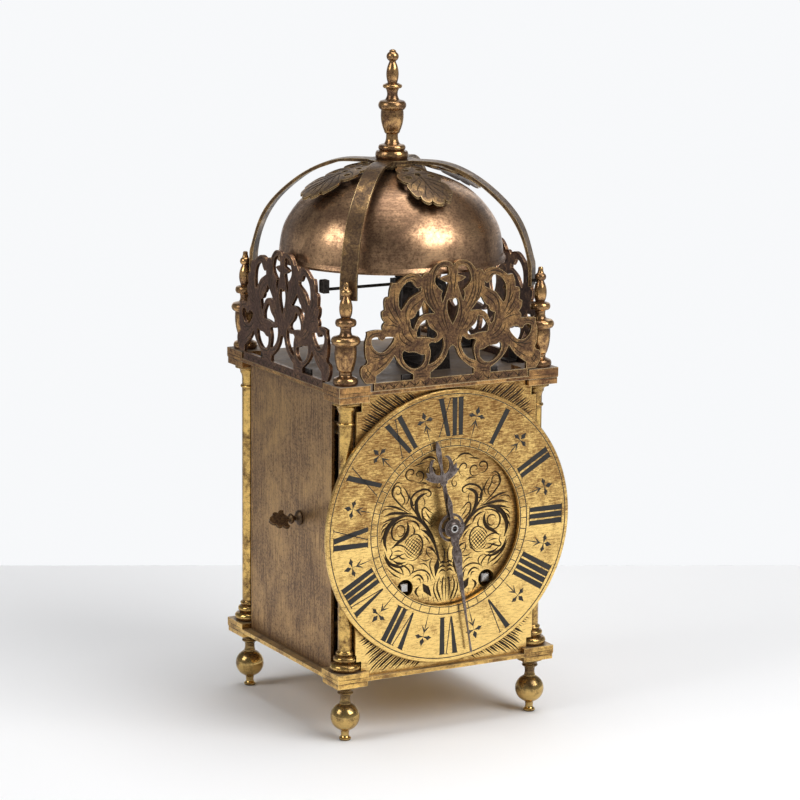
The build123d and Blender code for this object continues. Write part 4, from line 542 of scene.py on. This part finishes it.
def in_corner(across, up):
    """Whether a point of the plate, from the hands' axis, is clear of the blocks and pillars."""
    for low, high, half_width in (CLEAR_OF_PILLARS, CLEAR_OF_CAPS, CLEAR_OF_BLOCKS):
        if low <= up <= high:
            return across < half_width
    return False


def corner_cuts(up_side):
    """The cuts of one corner, wide and fine by turns: they leave the ring and bend out towards the
    corner with a slight wave."""
    cuts = []
    for number in range(CORNER_CUTS):
        turn = math.radians(FIRST_TURN + TURN_STEP * number)
        line = []
        for step in range(REACHES):
            reach = FIRST_REACH + REACH_STEP * step
            bend = turn + (math.radians(45) - turn) * CORNER_BEND * step**1.5
            bend += CORNER_WAVE * math.sin(0.4 * step)
            point = (reach * math.sin(bend), up_side * reach * math.cos(bend))
            if not in_corner(*point):
                break
            line.append(point)
        if len(line) > 1:
            cuts.append((CUT_WIDTHS[number % len(CUT_WIDTHS)], *line))
    return cuts


piece(stroked("corner_cuts", corner_cuts(1) + corner_cuts(-1), taper=0.35), ink, "case",
      laid_on(PLATE_FACE, CENTRE_HEIGHT))

# Joints of the corner blocks: each block of both plates has a groove between its two slabs, and a dark
# line is drawn where the groove meets them.
BLOCK_FACE, JOINT_WIDTH = corners_of("top_plate")[0].y, 0.5
JOINT_HEIGHTS, JOINT_ENDS = (36.2, 38.4, 203.0, 205.0), (52.3, 62, 71.8)
block_joints = [(JOINT_WIDTH, *((across, height) for across in JOINT_ENDS)) for height in JOINT_HEIGHTS]
for turn in (0, 90, 180, 270):
    piece(stroked(f"block_joints_{turn}", block_joints, taper=0.2), ink, "case",
          laid_on(BLOCK_FACE, turn=turn))

# Chapter ring: a flat brass ring on short feet riveted through the front plate. Its numerals, turned
# lines, quarter-hour track and half-hour marks are cut in and filled with black wax, which has
# browned here and there.
wax = aged_metal("black_wax", (0.013, 0.012, 0.010), (0.055, 0.042, 0.028), rough=(0.5, 0.65), amount=0.3,
                 metal=False)
ON_AXIS = Matrix.Translation((0, 0, CENTRE_HEIGHT * MM))
GLYPH_FOOT, GLYPH_TOP = 53.6, 75.6
THICK_FOOT, THICK_TOP, THIN = 2.7, 3.3, 0.55
LETTER_WIDTHS = {"I": 4.0, "V": 8.6, "X": 9.0}
THICK_INSET, THIN_INSET = 0.3 + THICK_TOP / 2, 0.9
V_MIDDLE, V_FOOT, X_FOOT = 0.3, 1.0, 0.2
WIDE_SERIF, SERIF, SERIF_HEIGHT = 4.4, 2.2, 0.36
WAX_LOW, WAX_HIGH = 0.06, 0.04


def wax_bar(form, turn, foot, top, foot_width, top_width, foot_at=GLYPH_FOOT, top_at=GLYPH_TOP):
    """A bar of wax on the ring, from the point foot at one radius to top at another; both are
    distances to the right of the line at that turn, clockwise from XII."""
    corners = bmesh.ops.create_cube(form, size=1.0)["verts"]
    for corner in corners:
        high = corner.co.z > 0
        across = (top if high else foot) + (top_width if high else foot_width) * corner.co.x
        depth = RING_FACE - WAX_HIGH if corner.co.y < 0 else RING_FACE + WAX_LOW
        corner.co = Vector((across, depth, top_at if high else foot_at)) * MM
    lean = Matrix.Rotation(math.radians(turn), 4, "Y")
    bmesh.ops.transform(form, matrix=ON_AXIS @ lean, verts=corners)


def wax_serif(form, turn, at, width, radius):
    """A thin bar of wax across the end of a letter's stroke."""
    wax_bar(form, turn, at, at, width, width, radius - SERIF_HEIGHT / 2, radius + SERIF_HEIGHT / 2)


def wax_glyph(form, turn, letter, at):
    """One letter of a numeral, its left side at a distance to the right of the line; returns its
    right side."""
    wide = LETTER_WIDTHS[letter]
    if letter == "I":
        middle = at + wide / 2
        wax_bar(form, turn, middle, middle, THICK_FOOT, THICK_TOP)
        for radius in (GLYPH_FOOT, GLYPH_TOP):
            wax_serif(form, turn, middle, wide, radius)
        return at + wide
    left, right = at + THICK_INSET, at + wide - THIN_INSET
    if letter == "V":
        middle = at + wide / 2 + V_MIDDLE
        wax_bar(form, turn, middle, left, V_FOOT, THICK_TOP)
        wax_bar(form, turn, middle + V_MIDDLE, right, THIN, THIN)
    else:
        thick, thin = right - THICK_FOOT / 2 + X_FOOT, at + THIN_INSET
        wax_bar(form, turn, thick, left, THICK_FOOT, THICK_TOP)
        wax_bar(form, turn, thin, right, THIN, THIN)
        for foot in (thick, thin):
            wax_serif(form, turn, foot, SERIF, GLYPH_FOOT)
    wax_serif(form, turn, left, WIDE_SERIF, GLYPH_TOP)
    wax_serif(form, turn, right, SERIF, GLYPH_TOP)
    return at + wide


NUMERALS = ("XII", "I", "II", "III", "IIII", "V", "VI", "VII", "VIII", "IX", "X", "XI")
form = bmesh.new()
for hour, letters in enumerate(NUMERALS):
    at = -sum(LETTER_WIDTHS[letter] for letter in letters) / 2
    for letter in letters:
        at = wax_glyph(form, 30 * hour, letter, at)
mesh = bpy.data.meshes.new("numerals")
form.to_mesh(mesh)
form.free()
piece(mesh, wax, "case")

BORDER, TRACK_OUTER, TRACK_INNER, QUARTERS = 77.9, 51.7, 47.5, 48
LINE_HALF, LINE_DEPTH, QUARTER_WIDTH = 0.26, 0.17, 0.46
form = bmesh.new()
for radius in (BORDER, TRACK_OUTER, TRACK_INNER):
    section = bmesh.ops.create_grid(form, x_segments=1, y_segments=1, size=LINE_HALF * MM)["verts"]
    there = Matrix.Translation((radius * MM, (RING_FACE + LINE_DEPTH) * MM, 0))
    bmesh.ops.transform(form, matrix=there, verts=section)
    filling = [face for face in form.faces if section[0] in face.verts]
    bmesh.ops.delete(form, geom=filling, context="FACES_ONLY")
    edges = [edge for edge in form.edges if all(end in section for end in edge.verts)]
    bmesh.ops.spin(form, geom=section + edges, cent=(0, 0, 0), axis=(0, 1, 0), angle=2 * math.pi, steps=160,
                   use_merge=True)
bmesh.ops.transform(form, matrix=ON_AXIS, verts=form.verts)
for number in range(QUARTERS):
    wax_bar(form, number * 360 / QUARTERS, 0, 0, QUARTER_WIDTH, QUARTER_WIDTH, TRACK_INNER, TRACK_OUTER)
bmesh.ops.recalc_face_normals(form, faces=form.faces)
mesh = bpy.data.meshes.new("ring_lines")
form.to_mesh(mesh)
form.free()
piece(mesh, wax, "case")

# A half-hour mark: a shaft with two barbs, and three petals with fine veins beside them
SHAFT_AND_PETAL = ((0.45, (0, 52), (0, 59), (0, 66)), (1.6, (0, 66.4), (0, 68.6), (0, 71.2)))
MARK_RIGHT = (
    (0.7, (0, 63.5), (0.9, 61.3), (2.6, 59.0)), (1.0, (0, 65.7), (2.2, 65.8), (4.2, 65.6), (5.6, 65.4)),
    (0.6, (1.8, 65.8), (3.2, 66.7), (4.6, 66.4)), (0.6, (2.2, 65.6), (3.4, 64.9), (4.4, 65.0)),
    (0.6, (0, 67.2), (1.0, 68.3), (0.9, 69.6)),
)
MARK_LEFT = [(width, *((-across, up) for across, up in points)) for width, *points in MARK_RIGHT]
MARK_BOLD = 1.6
half_hour = (*SHAFT_AND_PETAL, *MARK_RIGHT, *MARK_LEFT)
for hour in range(12):
    turned = ON_AXIS @ Matrix.Rotation(math.radians(15 + 30 * hour), 4, "Y")
    mark = stroked(f"half_hour_mark_{hour + 1}", widened(MARK_BOLD, half_hour), (1,))
    piece(mark, wax, "case", turned @ laid_on(RING_FACE))

# Hands and collet: filed from steel and left brown. The hands sit on the two pipes of the motion
# work, held by a domed collet and a pin.
hand_steel = aged_metal("hand_steel", (0.29, 0.245, 0.225), (0.075, 0.05, 0.04), rough=(0.28, 0.5),
                        amount=0.62, cloud=160.0, wear=0.35, worn=(0.46, 0.42, 0.39))
dress(hand_steel, "hour_hand", "minute_hand", "hand_collet")

# Frets: sawn from thick brass sheet, filed, and engraved with an outline, with veins and, along the
# foot, with a zigzag. Each is screwed to iron brackets on the top plate, behind its foot.
fret_brass = aged_metal("fret_brass", (0.54, 0.31, 0.12), (0.090, 0.043, 0.026), rough=(0.20, 0.40),
                        amount=0.66, cloud=120.0, hollows=1.2, reach=3.0, outline=1.15,
                        worn=(0.95, 0.68, 0.32), wear=0.75, pitted=0.5)
# A darker copy of the fret brass: painted shade for the side frets, which face away from the lamps
shaded_side_fret_brass = aged_metal("shaded_side_fret_brass", (0.46, 0.25, 0.12), (0.078, 0.036, 0.027), rough=(0.22, 0.42),
                             amount=0.74, cloud=120.0, hollows=1.2, reach=3.0, outline=1.15,
                             worn=(0.80, 0.50, 0.26), wear=0.6, pitted=0.4)
dress(fret_brass, "front_fret")
dress(shaded_side_fret_brass, "left_fret", "right_fret")

# Half of a fret's veins, from the middle of its foot
VEINS = (
    (0.5, (8, 40), (12, 46), (14.5, 52), (15, 58), (14, 65)),
    (0.5, (10, 40), (14, 46), (16.5, 52), (17, 58), (17, 64)),
    (0.5, (12.5, 43), (16, 48), (18.5, 54), (19.2, 59)),
    (0.5, (6.5, 42), (10, 47), (12.3, 52), (13.6, 57), (13, 62)),
    (0.6, (33, 38), (36, 43), (38, 50), (38, 57)), (0.5, (34.5, 37), (38, 41), (41, 46), (42.6, 50)),
    (0.5, (35, 36.5), (39, 39), (43, 43.4)), (0.5, (34, 35), (38, 36.5), (43.4, 37)),
    (0.5, (35.2, 42), (38.6, 46.6), (40.6, 51.4)),
    (0.6, (29.5, 36), (30.5, 41), (30, 45.5), (27, 49.5), (22, 52.3)),
    (0.5, (28.6, 41), (27, 45), (23.4, 48.2), (19.8, 50.6)),
    (0.6, (34.5, 60), (31, 62.6), (27, 63.8), (23, 63)),
    (0.6, (4, 69.8), (8, 69.6), (11.5, 67), (13, 63), (12.8, 58)),
    (0.6, (2, 30), (4.5, 36), (5.8, 42), (5.3, 46), (3.5, 52)), (0.5, (5, 30), (8.5, 35), (10.5, 39.6)),
    (0.5, (8, 30.6), (12, 34), (14.4, 38)), (0.5, (3.4, 31), (6.6, 37), (8, 42)),
    (0.6, (35.5, 27), (38, 23.8), (42, 20.8), (47, 20.4), (51.5, 23), (54, 27)),
    (0.5, (54, 29), (53.6, 31.6), (50, 33), (46, 33)),
    (0.6, (34, 24), (34.4, 19), (32.4, 14), (28.5, 10.6), (24.5, 9.5)),
    (0.6, (24.5, 9.5), (20.5, 9.9), (17, 12), (15.9, 16), (16.4, 21)),
    (0.6, (4.6, 29), (3.7, 24), (4.8, 19), (7.2, 15)), (0.6, (7.2, 15), (11, 12), (16, 10.5)),
    (0.5, (24, 25), (28, 27), (32, 31), (33, 35)), (0.5, (25, 23.6), (30, 25.4), (34, 29), (35, 33)),
    (0.5, (24.4, 27.4), (26.6, 30.4), (28.4, 34.6), (29, 39)),
    (0.5, (39.6, 19.6), (43, 16), (47.4, 13), (51, 11)), (0.5, (41, 21), (45, 18.4), (50, 17)),
    (0.5, (44, 20.6), (49, 19.4), (53.4, 20.4)), (0.4, (53, 7), (55.6, 10), (57.6, 13)),
    (0.4, (52, 9), (54.4, 12), (56, 14.6)), (0.4, (57.6, 9), (55.4, 11.4), (53.6, 14.4)),
    (0.4, (56, 7), (53.6, 9.6), (52, 12.6)), (0.5, (17, 7), (21, 7.6), (24, 7)),
    (0.5, (17, 5.6), (21, 6.0), (24, 5.6)), (0.5, (1.4, 51), (0.8, 56), (1.6, 61), (0.8, 66)),
    (0.5, (23, 58.4), (25.4, 61.6), (28, 62.4)),
)
PITCH, START, LOW, HIGH = 3.4, 0.3, 0.7, 4.0
zigzag = []
for number in range(14):
    first, last = (HIGH, LOW) if number % 2 == 0 else (LOW, HIGH)
    at = START + PITCH * number
    zigzag.append((0.5, (at, first), (at + PITCH / 2, (LOW + HIGH) / 2), (at + PITCH, last)))
teeth = [(1.3, *((START + PITCH * (2 * number + 1), up) for up in (0.5, 1.6, 2.9))) for number in range(7)]
VEIN_BOLD = 1.5
fret_low, fret_high = corners_of("front_fret")
front_shift = (fret_low.x + fret_high.x) / 2
for name, turn, shift in (("front", 0, front_shift), ("left", -90, 0), ("right", 90, 0)):
    veins = stroked(f"{name}_fret_veins", widened(VEIN_BOLD, [*VEINS, *zigzag]) + teeth)
    piece(veins, ink, "case", laid_on(fret_low.y, fret_low.z, shift, turn))

# Bell: cast in bronze, turned and burnished, with fine rings round it and brown stains. It hangs
# mouth down under the cage, clamped by the top finial's stud and a nut.
bell_bronze = aged_metal("bell_bronze", (0.82, 0.50, 0.27), (0.22, 0.126, 0.075), rough=(0.25, 0.38),
                         amount=0.60, cloud=30.0, lines=(60.0, 60.0, 2400.0), streak=0.16, dullness=0.05,
                         relief=0.02)
dress(bell_bronze, "bell")

# Bell cage and top finial: the cage is one brass casting of a hub, four straps and four pierced
# leaves, filed up and engraved, and its straps are screwed to the corner finials. The turned top
# finial stands on the hub.
cage_brass = aged_metal("cage_brass", (0.44, 0.265, 0.110), (0.080, 0.044, 0.025), rough=(0.22, 0.40),
                        amount=0.68, cloud=90.0, hollows=1.0, reach=4.0, worn=(0.80, 0.58, 0.28), wear=0.8)
dress(cage_brass, "bell_cage")
dress(coppery_brass, "top_finial")
RIM_HEIGHT, DOME_REACH, DOME_HEIGHT = corners_of("bell")[0].z, 79.5, 57.0
LEAF_VEINS = (
    (0.5, (0, 20), (0, 34), (0, 46), (0, 56)), (0.45, (0.6, 34), (4, 37), (9.6, 41), (11.6, 45)),
    (0.45, (0.6, 37), (4, 41), (8.4, 46), (9.6, 50)), (0.45, (0.6, 41), (3, 46), (6, 51), (6.6, 54.6)),
    (0.45, (0.6, 29), (4, 29.6), (9.6, 31), (12, 33)), (0.45, (0.6, 24), (2.2, 20), (3.6, 15)),
    (0.45, (0.5, 46), (1.6, 51), (2.4, 55.6)),
)


def on_dome(across, out):
    """A point of the leaves' upper face, from its place seen from above."""
    share = math.hypot(across, out) / DOME_REACH
    return (across, RIM_HEIGHT + DOME_HEIGHT * math.sqrt(1 - share**2), -out)


for number, side in enumerate(("front", "right", "back", "left")):
    veins = tuple((width, *(on_dome(*point) for point in points)) for width, *points in LEAF_VEINS)
    piece(stroked(f"{side}_leaf_veins", veins), ink, "case",
          Matrix.Rotation(math.radians(90 * number), 4, "Z"))

# Hammer and its rod, the stand, the screws and the fret brackets: forged and filed iron, black with
# age. The hammer turns on its stand on the top plate, and its square head stands under the bell's rim.
iron = aged_metal("iron", (0.13, 0.115, 0.105), (0.04, 0.032, 0.028), rough=(0.4, 0.6), amount=0.6,
                  cloud=90.0, worn=(0.28, 0.25, 0.22))
dress(iron, "hammer", "lifting_rod", "hammer_stand", "screws_and_nuts", "fret_brackets")

# Doors: plain sheet brass, scraped from top to bottom and brown with streaks; each is brazed to a
# pin that turns in the plates. The side doors' pulls are cast leaves on turned rosettes.
door_brass = aged_metal("door_brass", (0.58, 0.355, 0.150), (0.190, 0.100, 0.052), rough=(0.32, 0.46),
                        amount=0.60, cloud=30.0, lines=(2600.0, 2600.0, 60.0), streak=0.7, pitted=0.6,
                        hollows=1.2, reach=9.0, relief=0.3, dullness=0.5)
dress(door_brass, "left_door", "right_door", "back_door")
pull_brass = aged_metal("pull_brass", (0.34, 0.21, 0.09), (0.07, 0.04, 0.022), rough=(0.25, 0.45),
                        amount=0.75, cloud=200.0, hollows=1.4, reach=2.0)
dress(pull_brass, "left_door_pull", "right_door_pull")

# Movement: brass plates, wheels and barrels with steel arbors, pinions, springs and clicks. It
# stands on two bars inside the case and shows when a door is open.
movement_brass = aged_metal("movement_brass", (0.66, 0.47, 0.20), (0.28, 0.18, 0.08), rough=(0.26, 0.42),
                            amount=0.45)
steel = aged_metal("steel", (0.52, 0.51, 0.49), (0.2, 0.17, 0.15), rough=(0.2, 0.4), amount=0.4)
SLOT_MATERIALS = {"movement_brass": movement_brass, "steel": steel}
for part in frame["record"]["subparts"]:
    if part["material_slot"] in SLOT_MATERIALS:
        dress(SLOT_MATERIALS[part["material_slot"]], part["node"])
